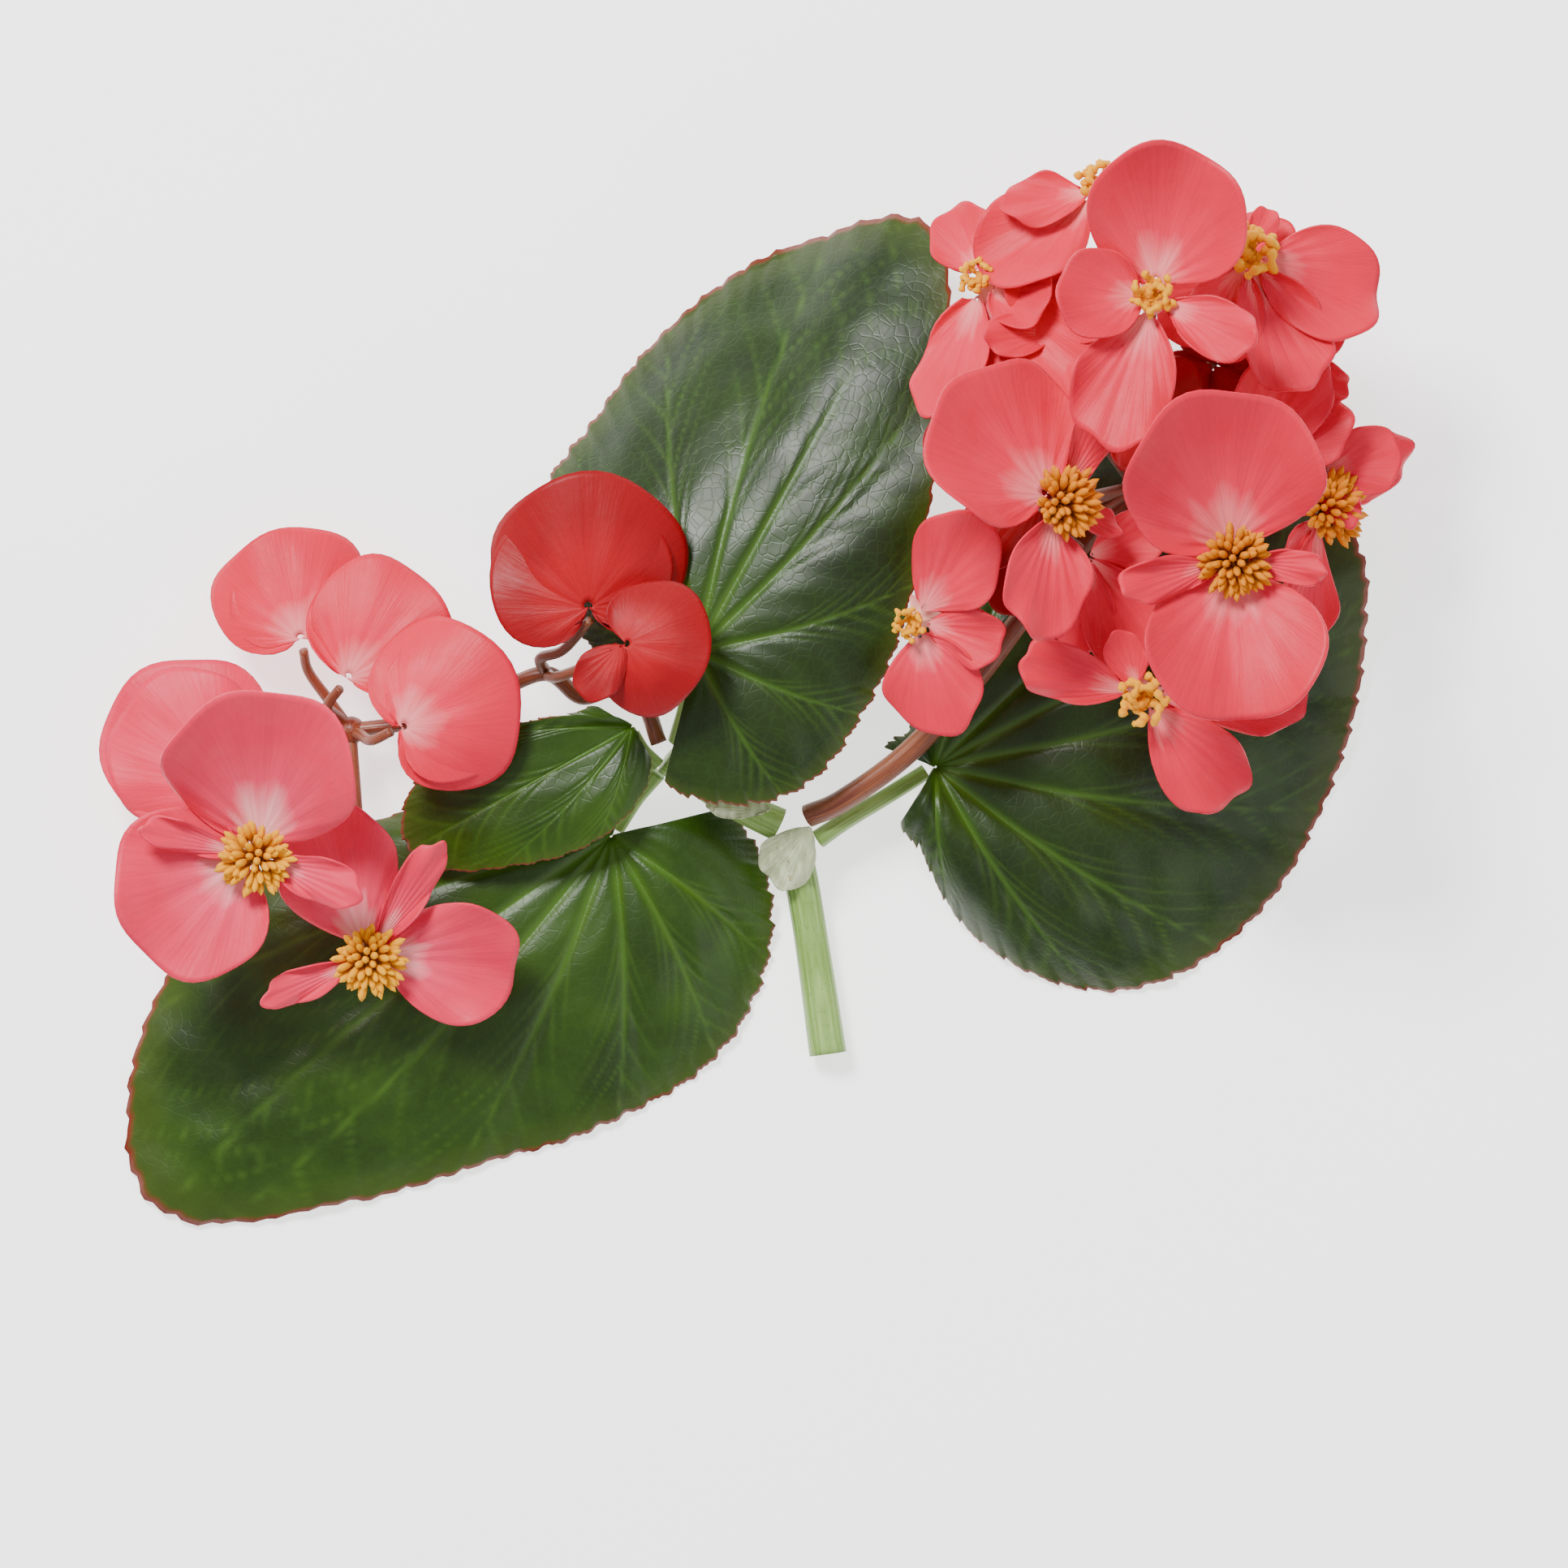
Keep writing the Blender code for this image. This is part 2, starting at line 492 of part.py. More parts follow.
def peduncle(name, slot, radii, flowers, hub, route, branches):
    """A main stalk to the hub of its cluster and a pedicel from there to each flower's back."""
    pieces = [tube(name, tuple(route) + (hub,), radii), ball("hub", hub, (2.0, 2.0, 2.0))]
    for label in flowers:
        end, face = back_of(label)
        knee = end - face * 4.0
        middle = (Vector(hub) + knee) / 2
        middle.z = min(hub[2], knee.z) + 0.3 * abs(hub[2] - knee.z)
        pieces.append(tube("pedicel", (hub, middle, knee, end), PEDICEL_RADII, 2, 1))
    for label, via in branches.items():
        end, face = back_of(label)
        pieces.append(tube("pedicel", (*via, end), PEDICEL_RADII, 2, 1))
    paint(join(pieces, name), slot)


# ---------------------------------------------------------------- the sprig

for old in list(bpy.data.objects):
    bpy.data.objects.remove(old)
parts = bpy.data.collections.new(COLLECTION)
bpy.context.scene.collection.children.link(parts)

for label, spec in LEAVES.items():
    leaf(label, **spec)
for label, spec in STALKS.items():
    paint(tube(label, spec["route"], spec["radii"]), spec["slot"])
for label, spec in FLOWERS.items():
    flower(label, **spec)
for label, spec in PEDUNCLES.items():
    peduncle(label, branches=BRANCHES if label == "peduncle_left" else {}, **spec)
for label, spec in STIPULES.items():
    surface = free_tepal(spec["at"], flower_axes(0, 0), spec["spec"], 0.0)
    paint(blade(label, surface, 4, 6, TEPAL_THICKNESS), "papery")
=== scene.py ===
import math

import bpy
import numpy as np
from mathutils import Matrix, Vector


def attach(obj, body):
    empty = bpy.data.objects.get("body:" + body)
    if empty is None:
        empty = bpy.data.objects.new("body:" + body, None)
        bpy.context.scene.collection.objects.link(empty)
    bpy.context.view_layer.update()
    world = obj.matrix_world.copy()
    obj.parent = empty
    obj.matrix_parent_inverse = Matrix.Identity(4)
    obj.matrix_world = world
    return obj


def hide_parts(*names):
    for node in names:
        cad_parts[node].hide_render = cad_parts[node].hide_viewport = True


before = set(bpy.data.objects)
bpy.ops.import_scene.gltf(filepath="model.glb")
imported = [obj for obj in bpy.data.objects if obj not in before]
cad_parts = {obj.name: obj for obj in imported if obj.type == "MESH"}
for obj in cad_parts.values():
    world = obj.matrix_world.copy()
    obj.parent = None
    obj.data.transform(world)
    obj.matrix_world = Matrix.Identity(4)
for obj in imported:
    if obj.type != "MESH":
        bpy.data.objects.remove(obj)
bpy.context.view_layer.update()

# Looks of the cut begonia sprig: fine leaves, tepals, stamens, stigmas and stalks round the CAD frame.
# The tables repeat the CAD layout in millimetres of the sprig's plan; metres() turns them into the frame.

ORIGIN = np.array((-1.98, -1.28, 0.02))   # the part's origin in the plan, mm
MM = 0.001
RECEPTACLE = 1.5
GAP = 0.35
OVARY_LENGTH = 7.0
PEDICEL_RADII = (0.9, 0.7)
LEAF_SHEET = 0.35                         # thickness of the fine leaf, mm
TEPAL_SHEET = 0.28
LEAF_FLOOR = 0.45                         # the lowest a leaf's upper face comes
BUD_SETBACK = 0.6
CAMERA_HEIGHT = 1.5                       # metres above the floor
VIEW_WIDTH = 0.23184                      # metres of floor across the picture
FLOOR_GLOW = 1.5
SKY_STRENGTH = 0.66
FLOOR_REACH = 3.0
BROADER = 1.06                            # fine tepals of the right cluster against the CAD ones

LEAVES = {
    "leaf_upper": dict(
        base=(-9.0, 4.0, 22.0), heading=61.0, arch=2.0, slot="leaf", rim=(
            (-165, 20, 20), (-114, 25, 20), (-80, 26, 21), (-60, 29, 22), (-39, 35, 23), (-26, 42, 23),
            (-14, 52, 20), (0, 71, 12), (14, 63, 2), (36, 47, 1), (52, 38, 3), (71, 33, 7),
            (101, 20, 15), (130, 13, 20), (160, 12, 21))),
    "leaf_left": dict(
        base=(-21.6, -23.0, 8.0), heading=-141.0, arch=3.0, slot="leaf_light", rim=(
            (-150, 12, 9), (-90, 15, 7), (-64, 18, 6), (-48, 28, 5), (-27, 61, 2), (-13, 79, 1),
            (0, 87, 1), (15, 67, 1.5), (27, 54, 1), (46, 44, 1), (76, 36, 1), (112, 27, 2),
            (155, 17, 5))),
    "leaf_young": dict(
        base=(-18.5, -7.0, 16.0), heading=-151.0, arch=2.0, slot="leaf_light", rim=(
            (-60, 6, 17), (-34, 13, 18), (-20, 29, 14), (0, 37.5, 11), (22, 26, 14), (54, 14, 16),
            (93, 5, 16))),
    "leaf_right": dict(
        base=(25.9, -12.9, 9.0), heading=28.0, arch=4.0, slot="leaf", rim=(
            (-150, 10, 8), (-123, 14, 6), (-104, 26, 2), (-77, 43.5, 1), (-54, 52, 1), (-33, 58, 1),
            (-12, 66, 4), (0, 70.5, 9), (16, 66, 1), (36, 54, 1), (56, 31, 6), (88, 9, 10),
            (130, 8, 10))),
}


def tepal(name, yaw, rise, length, spread, power=0.7, cup=0.25, curl=10.0, lift=0.0):
    return dict(name=name, yaw=yaw, rise=rise, length=length, spread=spread, power=power, cup=cup,
                curl=curl, lift=lift)


STIPULES = {
    "stipule_front": dict(at=(7.6, -21.6, 11.6), spec=tepal("front", -124, -8, 11.5, 50, 0.6, -0.25, -36)),
    "stipule_rear": dict(at=(1.8, -19.0, 13.6), spec=tepal("rear", 172, 0, 9.5, 34, 0.6, -0.2, -10)),
}

# Flowers: place of the centre, facing (azimuth, tilt from straight up), kind, tepals.
FLOWERS = {
    "left_front": dict(at=(-72.6, -25.9, 30.0), face=(-120, 8), kind="male", apart=True, slot="pink",
                       head=(3.4, 3.2, 2.2), tepals=(
        tepal("upper", 82, 18, 27.0, 86, 0.8, 0.30, 18),
        tepal("lower", -152, 10, 20.5, 98, 0.6, 0.1, 14),
        tepal("side_left", 162, 22, 16.0, 23, 0.8, 0.1, 0, 1.1),
        tepal("side_right", -18, 14, 15.0, 34, 0.8, 0.1, 0, 0.9))),
    "left_lower": dict(at=(-56.9, -40.5, 21.0), face=(-70, 14), kind="male", apart=True, slot="pink",
                       head=(3.2, 3.0, 2.2), tepals=(
        tepal("upper", 108, 4, 22.0, 62, 0.8, 0.2, -6),
        tepal("right", -3, 4, 20.5, 68, 0.75, 0.2, -6),
        tepal("side_upper", 60, 10, 19.5, 22, 0.8, 0.2, 4, 0.9),
        tepal("side_lower", -160, 10, 15.0, 25, 0.8, 0.2, 4, 0.9))),
    "left_outer": dict(at=(-77.0, -16.0, 16.0), face=(0, 0), kind="bud", slot="pink", tepals=(
        tepal("front", 140, 12, 20.0, 96, 0.65, -0.2, -30),
        tepal("rear", 135, -4, 22.0, 98, 0.65, -0.1, -16))),
    "left_back": dict(at=(-67.0, 5.6, 14.0), face=(0, 0), kind="bud", slot="coral", tepals=(
        tepal("front", 104, 6, 17.0, 112, 0.6, -0.25, -30),
        tepal("rear", 100, -14, 15.0, 105, 0.6, -0.1, -10))),
    "left_top": dict(at=(-60.4, -0.2, 17.0), face=(0, 0), kind="bud", slot="coral", tepals=(
        tepal("front", 52, 16, 19.0, 92, 0.6, -0.25, -36),
        tepal("rear", 56, -4, 18.0, 92, 0.6, -0.1, -16))),
    "left_inner": dict(at=(-52.2, -7.2, 23.0), face=(0, 0), kind="bud", slot="coral", tepals=(
        tepal("front", 27, 12, 18.5, 140, 0.9, -0.22, -30),
        tepal("rear", 20, -6, 16.0, 120, 0.8, -0.1, -20))),
    "red_upper": dict(at=(-24.6, 9.9, 28.0), face=(0, 0), kind="bud", slot="red", tepals=(
        tepal("front", 90, 14, 19.5, 148, 0.75, -0.22, -26),
        tepal("rear", 104, 2, 17.0, 150, 0.6, -0.1, -12))),
    "red_lower": dict(at=(-19.5, 5.0, 34.0), face=(0, 0), stalk=(0.55, 0.35, 0.75),
                      kind="bud", slot="red", tepals=(
        tepal("front", -8, 12, 12.5, 150, 0.55, -0.25, -30),
        tepal("small", -128, 10, 9.5, 60, 0.8, -0.2, -20))),
    "crown": dict(at=(56.4, 54.0, 53.0), face=(95, 8), kind="female", apart=True, slot="coral",
                  head=(3.0, 2.8, 2.0), tepals=(
        tepal("upper", 80, 20, 20.5, 84, 0.8, 0.3, 24),
        tepal("left", -178, 18, 12.5, 72, 0.7, 0.3, 10, 0.9),
        tepal("lower", -108, 8, 20.0, 46, 0.66, 0.25, -10),
        tepal("right", -30, 14, 14.5, 40, 0.8, 0.3, 10, 0.9))),
    "right_upper": dict(at=(70.3, 60.8, 40.0), face=(40, 20), kind="female", slot="coral",
                        head=(4.0, 3.6, 2.2), tepals=(
        tepal("right", -22, 6, 18.0, 62, 0.7, 0.25, 0),
        tepal("lower", -70, 4, 19.0, 48, 0.7, 0.3, 6),
        tepal("left", -112, -2, 14.0, 55, 0.7, 0.2, 0),
        tepal("upper", 60, 0, 6.0, 50, 0.8, 0.2, 0))),
    "back": dict(at=(49.5, 70.8, 30.0), face=(95, 30), kind="female", slot="coral",
                 head=(2.6, 3.2, 2.0), tepals=(
        tepal("left", 195, 6, 12.0, 50, 0.8, 0.2, 0),
        tepal("lower", -75, 4, 8.0, 50, 0.8, 0.2, 0),
        tepal("rear", 215, -10, 18.0, 58, 0.7, 0.2, -6))),
    "side_upper": dict(at=(32.4, 57.4, 27.0), face=(140, 30), kind="female", slot="coral",
                       head=(1.6, 2.6, 2.0), tepals=(
        tepal("upper", 112, 6, 10.5, 66, 0.7, 0.25, 0),
        tepal("right", -25, 8, 11.0, 62, 0.7, 0.3, 10),
        tepal("lower", -104, 6, 19.0, 40, 0.75, 0.2, 0),
        tepal("rear", -48, -8, 20.0, 62, 0.7, 0.1, 0))),
    "side_lower": dict(at=(22.6, 8.2, 31.0), face=(-150, 22), kind="female", slot="coral",
                       head=(2.2, 2.4, 2.0), tepals=(
        tepal("upper", 52, 10, 17.5, 52, 0.65, 0.25, 6),
        tepal("middle", -12, 4, 11.5, 50, 0.65, 0.2, 0),
        tepal("lower", -72, 4, 14.5, 66, 0.65, 0.2, -10))),
    "centre": dict(at=(42.8, 24.8, 48.0), face=(8, 32), kind="male", apart=True, slot="coral",
                   head=(3.0, 3.2, 2.2), tepals=(
        tepal("left", 140, -6, 21.0, 84, 0.62, 0.25, 8),
        tepal("lower", -106, 10, 17.5, 48, 0.6, 0.3, -14),
        tepal("side_upper", 68, 20, 15.0, 34, 0.8, 0.2, 6, 0.9),
        tepal("side_lower", -20, 0, 8.5, 32, 0.8, 0.2, 0, 0.9))),
    "front": dict(at=(67.9, 16.7, 51.0), face=(-60, 8), kind="male", apart=True, slot="coral",
                  head=(3.0, 2.8, 2.2), tepals=(
        tepal("upper", 102, 16, 24.5, 84, 0.7, 0.32, 16),
        tepal("lower", -92, 14, 21.0, 94, 0.62, 0.32, 10),
        tepal("side_left", -168, 22, 15.5, 28, 0.8, 0.1, 0, 1.1),
        tepal("side_right", -6, 16, 11.0, 30, 0.8, 0.2, 0, 0.9))),
    "right_edge": dict(at=(81.5, 24.5, 29.0), face=(0, 40), kind="male", slot="coral",
                       head=(3.4, 3.0, 2.4), tepals=(
        tepal("right", 30, 0, 17.0, 34, 0.8, 0.2, 0),
        tepal("upper", 100, -2, 10.0, 50, 0.7, 0.2, 0),
        tepal("left", -125, -4, 8.0, 45, 0.7, 0.2, 0),
        tepal("lower", -98, -6, 20.0, 32, 0.7, 0.2, 0))),
    "bottom": dict(at=(55.2, -2.6, 38.0), face=(-80, 14), kind="female", slot="coral",
                   head=(3.4, 3.2, 2.2), tepals=(
        tepal("left", 162, 6, 16.0, 34, 0.7, 0.2, 0),
        tepal("upper", 112, 4, 8.0, 50, 0.8, 0.2, 0),
        tepal("lower", -50, 4, 18.5, 42, 0.6, 0.25, -14),
        tepal("right", -4, -2, 21.0, 28, 0.7, 0.2, 0))),
    "ruffled": dict(at=(71.0, 31.0, 36.0), face=(0, 0), kind="bud", slot="coral", tepals=(
        tepal("front", 62, 6, 17.0, 50, 0.65, 0.2, 0),
        tepal("rear", 30, -6, 15.0, 50, 0.65, 0.2, 0))),
    "nodding": dict(at=(47.5, 17.5, 37.0), face=(0, 0), kind="bud", slot="coral", tepals=(
        tepal("front", -92, 4, 13.5, 38, 0.6, -0.4, -30),
        tepal("rear", -62, -8, 17.0, 44, 0.7, 0.1, 0),
        tepal("side", 20, 0, 11.0, 50, 0.7, 0.1, 0))),
    # This flower's deep red is painted shade, where it lies under the flowers above it.
    "shaded": dict(at=(41.6, 27.4, 36.0), face=(180, 6), kind="bud", slot="red", tepals=(
        tepal("upper", 142, 0, 19.0, 60, 0.7, 0.2, -6),
        tepal("lower", -140, -4, 14.0, 50, 0.7, 0.2, 0),
        tepal("top", 70, 0, 10.0, 50, 0.7, 0.2, 0))),
}

RIGHT_HUB = (55.0, 27.9, 22.0)
LEFT_HUB = (-60.0, -7.5, 9.0)
RIGHT_CLUSTER = ("crown", "right_upper", "back", "side_upper", "side_lower", "centre", "front",
                 "right_edge", "bottom", "ruffled", "nodding", "shaded")
LEFT_CLUSTER = ("left_front", "left_lower", "left_outer", "left_back", "left_top",
                "left_inner")

# Stalks: route points and radii at the two ends.
STALKS = {
    "stem_lower": dict(slot="stem", radii=(2.7, 2.5), route=(
        (10.3, -55.2, 2.75), (8.6, -43.4, 2.75), (6.8, -32.0, 3.8), (5.4, -24.8, 6.0))),
    "stem_upper": dict(slot="stem", radii=(2.4, 2.1), route=(
        (2.9, -21.3, 8.2), (-4.7, -17.6, 9.5), (-13.6, -11.8, 11.5))),
    "petiole_right": dict(slot="stem", radii=(1.4, 1.2), route=(
        (8.8, -23.5, 7.2), (12.5, -21.0, 8.0), (18.5, -17.4, 7.6), (24.6, -13.6, 7.1))),
    "petiole_left": dict(slot="stem", radii=(1.3, 1.1), route=(
        (-14.9, -13.7, 9.4), (-18.0, -17.5, 7.6), (-20.8, -21.9, 5.8))),
    "petiole_upper": dict(slot="stem", radii=(1.3, 1.1), route=(
        (-11.9, -9.0, 13.2), (-10.6, -4.0, 17.4), (-9.6, 2.2, 20.0))),
    "petiole_young": dict(slot="stem", radii=(1.2, 1.0), route=(
        (-15.0, -12.6, 12.5), (-17.0, -10.4, 13.6), (-18.4, -8.0, 13.9))),
}
PEDUNCLES = {
    "peduncle_right": dict(slot="stalk", radii=(1.7, 1.5), flowers=RIGHT_CLUSTER, hub=RIGHT_HUB, route=(
        (7.2, -20.0, 10.2), (12.5, -17.6, 12.2), (22.0, -10.6, 14.0), (31.5, -0.2, 16.0),
        (40.0, 11.0, 18.5), (50.0, 23.0, 21.0))),
    "peduncle_left": dict(slot="stalk", radii=(1.2, 1.1), flowers=LEFT_CLUSTER, hub=LEFT_HUB, route=(
        (-14.6, -9.4, 15.0), (-17.0, -3.4, 15.3), (-21.5, -1.6, 14.8),
        (-26.1, -2.6, 14.4), (-31.0, 0.8, 14.4),
        (-38.0, -1.5, 12.8), (-50.0, -6.0, 10.5))),
}

# Two flowers leave the left peduncle on the way: the points where their own stalks pass.
BRANCHES = {
    "red_upper": ((-31.0, 0.8, 14.4), (-31.8, 3.0, 19.0), (-28.4, 4.2, 22.8)),
    "red_lower": ((-31.0, 0.8, 14.4), (-29.6, 0.2, 20.0), (-24.5, 2.0, 26.0)),
}



# Main veins of each leaf: angles from the line to the tip, and how far the blade puckers between them.
VEINS = {
    "leaf_upper": ((-126, -88, -50, -18, 0, 17, 40, 72, 110), 0.9),
    "leaf_left": ((-60, -24, -5, 12, 32, 58, 82, 108), 1.5),
    "leaf_young": ((-30, 0, 24, 50), 0.8),
    "leaf_right": ((-118, -89, -66, -40, -18, 0, 16, 42), 2.0),
}
# Guessed flowers low in the right cluster, with no CAD node: centre, facing, first turn, length, slot. The
# deep red ones are painted shade low in the cluster.
INNER_FLOWERS = (
    ((53.0, 38.0, 31.0), (150, 14), 20, 13.0, "red"),
    ((76.0, 45.0, 31.0), (20, 18), 60, 12.5, "coral"),
    ((43.0, 50.0, 30.0), (140, 14), 100, 13.0, "coral"),
    ((57.0, 11.0, 27.0), (250, 16), 10, 12.0, "red"),
    ((67.0, 57.0, 31.0), (60, 14), 40, 13.0, "coral"),
    ((82.0, 30.0, 29.0), (0, 20), 15, 11.5, "coral"),
    ((40.0, 20.0, 27.0), (200, 16), 75, 11.5, "red"),
    ((66.0, 45.5, 28.0), (0, 8), 35, 12.0, "red"),
)
# The darkest tones are the real deep red of the two red flowers on the left stalk. Where they colour the
# shaded flower and the dark inner flowers of the right cluster, they are painted shade.
PETALS = {   # base, middle and rim colours
    "pink": ((0.94, 0.50, 0.50), (0.80, 0.032, 0.100), (0.74, 0.009, 0.060)),
    "coral": ((0.90, 0.26, 0.27), (0.76, 0.013, 0.055), (0.68, 0.004, 0.036)),
    "red": ((0.42, 0.004, 0.010), (0.40, 0.002, 0.008), (0.28, 0.001, 0.005)),
}


def metres(points):
    """Points of the plan, in metres of the frame."""
    return (np.asarray(points, float) - ORIGIN) * MM


# ---------------------------------------------------------------- node helpers

class Nodes:
    """Small helper that adds and links shader nodes of one material."""

    def __init__(self, name):
        self.material = bpy.data.materials.new(name)
        self.material.use_nodes = True
        self.tree = self.material.node_tree
        self.shader = self.tree.nodes["Principled BSDF"]

    def add(self, kind, **settings):
        node = self.tree.nodes.new(kind)
        for key, value in settings.items():
            if hasattr(node, key):
                setattr(node, key, value)
            else:
                node.inputs[key.replace("_", " ")].default_value = value
        return node

    def link(self, source, target):
        self.tree.links.new(source, target)

    def attribute(self, name):
        return self.add("ShaderNodeAttribute", attribute_name=name).outputs["Fac"]

    def ramp(self, value, stops):
        node = self.add("ShaderNodeValToRGB")
        elements = node.color_ramp.elements
        while len(elements) < len(stops):
            elements.new(0.5)
        for element, (place, colour) in zip(elements, stops):
            element.position = place
            element.color = (*colour, 1.0) if len(colour) == 3 else colour
        self.link(value, node.inputs["Fac"])
        return node.outputs["Color"]

    def math(self, operation, a, b=0.0):
        node = self.add("ShaderNodeMath", operation=operation)
        for socket, value in zip(node.inputs, (a, b)):
            if isinstance(value, (int, float)):
                socket.default_value = value
            else:
                self.link(value, socket)
        return node.outputs[0]

    def mix(self, factor, a, b, blend="MIX"):
        node = self.add("ShaderNodeMix", data_type="RGBA", blend_type=blend)
        for socket, value in ((node.inputs[0], factor), (node.inputs[6], a), (node.inputs[7], b)):
            if isinstance(value, (int, float)):
                socket.default_value = value
            elif isinstance(value, tuple):
                socket.default_value = (*value, 1.0)
            else:
                self.link(value, socket)
        return node.outputs[2]

    def noise(self, scale, detail=3.0, vector=None, rough=0.5):
        node = self.add("ShaderNodeTexNoise", Scale=scale, Detail=detail, Roughness=rough)
        if vector is None:
            vector = self.add("ShaderNodeTexCoord").outputs["Object"]
        self.link(vector, node.inputs["Vector"])
        return node.outputs["Fac"]

    def stretched(self, across, radial, x, y):
        """A vector that runs x times across a blade and y times along it."""
        node = self.add("ShaderNodeCombineXYZ")
        self.link(self.math("MULTIPLY", across, x), node.inputs[0])
        self.link(self.math("MULTIPLY", radial, y), node.inputs[1])
        self.link(self.attribute("piece_seed"), node.inputs[2])
        return node.outputs[0]

    def bump(self, height, strength, distance):
        node = self.add("ShaderNodeBump", Strength=strength, Distance=distance)
        self.link(height, node.inputs["Height"])
        self.link(node.outputs["Normal"], self.shader.inputs["Normal"])


def leaf_material(name, dark, light):
    """Glossy leaf: mottled green, pale veins, a fine net of cells and a red edge."""
    n = Nodes(name)
    radial, vein = n.attribute("radial"), n.attribute("vein")
    mottle = n.noise(90.0, 4.0)
    green = n.mix(n.ramp(mottle, ((0.35, (0, 0, 0)), (0.68, (1, 1, 1)))), dark, light)
    base_glow = n.ramp(radial, ((0.0, (1, 1, 1)), (0.45, (0, 0, 0))))
    green = n.mix(n.math("MULTIPLY", base_glow, 0.30), green, (0.040, 0.115, 0.004))
    cells = n.add("ShaderNodeTexVoronoi", feature="DISTANCE_TO_EDGE", Scale=620.0)
    warp = n.add("ShaderNodeTexCoord").outputs["Object"]
    n.link(warp, cells.inputs["Vector"])
    net = n.ramp(cells.outputs["Distance"], ((0.0, (1, 1, 1)), (0.10, (0, 0, 0))))
    green = n.mix(n.math("MULTIPLY", net, 0.12), green, (0.03, 0.09, 0.008))
    green = n.mix(n.math("MULTIPLY", vein, 0.42), green, (0.09, 0.21, 0.016))
    edge = n.ramp(radial, ((0.90, (0, 0, 0)), (0.985, (1, 1, 1))))
    green = n.mix(n.math("MULTIPLY", edge, 0.35), green, (0.07, 0.10, 0.01))
    rim = n.ramp(radial, ((0.984, (0, 0, 0)), (0.997, (1, 1, 1))))
    n.link(n.mix(rim, green, (0.20, 0.022, 0.012)), n.shader.inputs["Base Color"])
    n.link(n.math("ADD", n.math("MULTIPLY", n.noise(160.0), 0.25), 0.26), n.shader.inputs["Roughness"])
    n.shader.inputs["Specular IOR Level"].default_value = 0.30
    height = n.math("ADD", n.math("MULTIPLY", net, -0.25), n.math("MULTIPLY", n.noise(300.0, 2.0), 0.7))
    n.bump(height, 0.16, 0.0004)
    return n.material


def underside_material(name, colour):
    """The paler, duller back of a leaf."""
    n = Nodes(name)
    tone = n.mix(n.noise(140.0), colour, tuple(c * 0.7 for c in colour))
    n.link(n.mix(n.math("MULTIPLY", n.attribute("vein"), 0.7), tone, (0.36, 0.16, 0.08)),
           n.shader.inputs["Base Color"])
    n.shader.inputs["Roughness"].default_value = 0.55
    n.bump(n.noise(500.0), 0.25, 0.0003)
    return n.material


def petal_material(name, base, middle, rim):
    """A tepal: pale at its claw, with fine veins that fan out and a satin, slightly mottled face."""
    n = Nodes(name)
    radial, across = n.attribute("radial"), n.attribute("across")
    drift = n.noise(1.0, 2.0, n.stretched(across, radial, 5, 2))
    wobble = n.math("MULTIPLY", n.math("SUBTRACT", drift, 0.5), 0.35)
    place = n.math("ADD", radial, wobble)
    colour = n.ramp(place, ((0.08, base), (0.38, middle), (0.70, rim), (0.94, rim)))
    veins = n.noise(1.0, 4.0, n.stretched(across, radial, 46, 2.2), 0.6)
    streak = n.ramp(veins, ((0.42, (0, 0, 0)), (0.62, (1, 1, 1))))
    deep = tuple(c * 0.72 for c in rim)
    colour = n.mix(n.math("MULTIPLY", streak, 0.22), colour, deep)
    colour = n.mix(n.math("MULTIPLY", n.noise(260.0, 4.0), 0.06), colour, base)
    n.link(colour, n.shader.inputs["Base Color"])
    n.link(n.math("ADD", n.math("MULTIPLY", n.noise(400.0), 0.2), 0.36), n.shader.inputs["Roughness"])
    n.shader.inputs["Specular IOR Level"].default_value = 0.22
    n.bump(n.math("ADD", veins, n.math("MULTIPLY", n.noise(900.0, 2.0), 0.4)), 0.30, 0.0003)
    return n.material


def stem_material(name, pale, deep, streaks):
    """A juicy stalk: long streaks and fine dots of a deeper tone, with a moist skin."""
    n = Nodes(name)
    radial, across = n.attribute("radial"), n.attribute("across")
    long_noise = n.noise(1.0, 4.0, n.stretched(across, radial, 9, streaks), 0.6)
    tone = n.ramp(long_noise, ((0.32, pale), (0.66, deep)))
    dots = n.ramp(n.noise(1500.0, 2.0), ((0.60, (0, 0, 0)), (0.70, (1, 1, 1))))
    tone = n.mix(n.math("MULTIPLY", dots, 0.25), tone, tuple(c * 0.6 for c in deep))
    n.link(tone, n.shader.inputs["Base Color"])
    n.link(n.math("ADD", n.math("MULTIPLY", n.noise(500.0), 0.2), 0.25), n.shader.inputs["Roughness"])
    n.bump(long_noise, 0.4, 0.0004)
    return n.material


def pollen_material(name, pale, deep):
    """Yellow anthers and stigmas, grainy with pollen."""
    n = Nodes(name)
    tone = n.mix(n.ramp(n.attribute("radial"), ((0.0, (0, 0, 0)), (0.8, (1, 1, 1)))), deep, pale)
    n.link(n.mix(n.math("MULTIPLY", n.noise(1400.0), 0.45), tone, deep), n.shader.inputs["Base Color"])
    n.shader.inputs["Roughness"].default_value = 0.6
    n.shader.inputs["Specular IOR Level"].default_value = 0.2
    n.bump(n.noise(3500.0), 0.6, 0.0002)
    return n.material


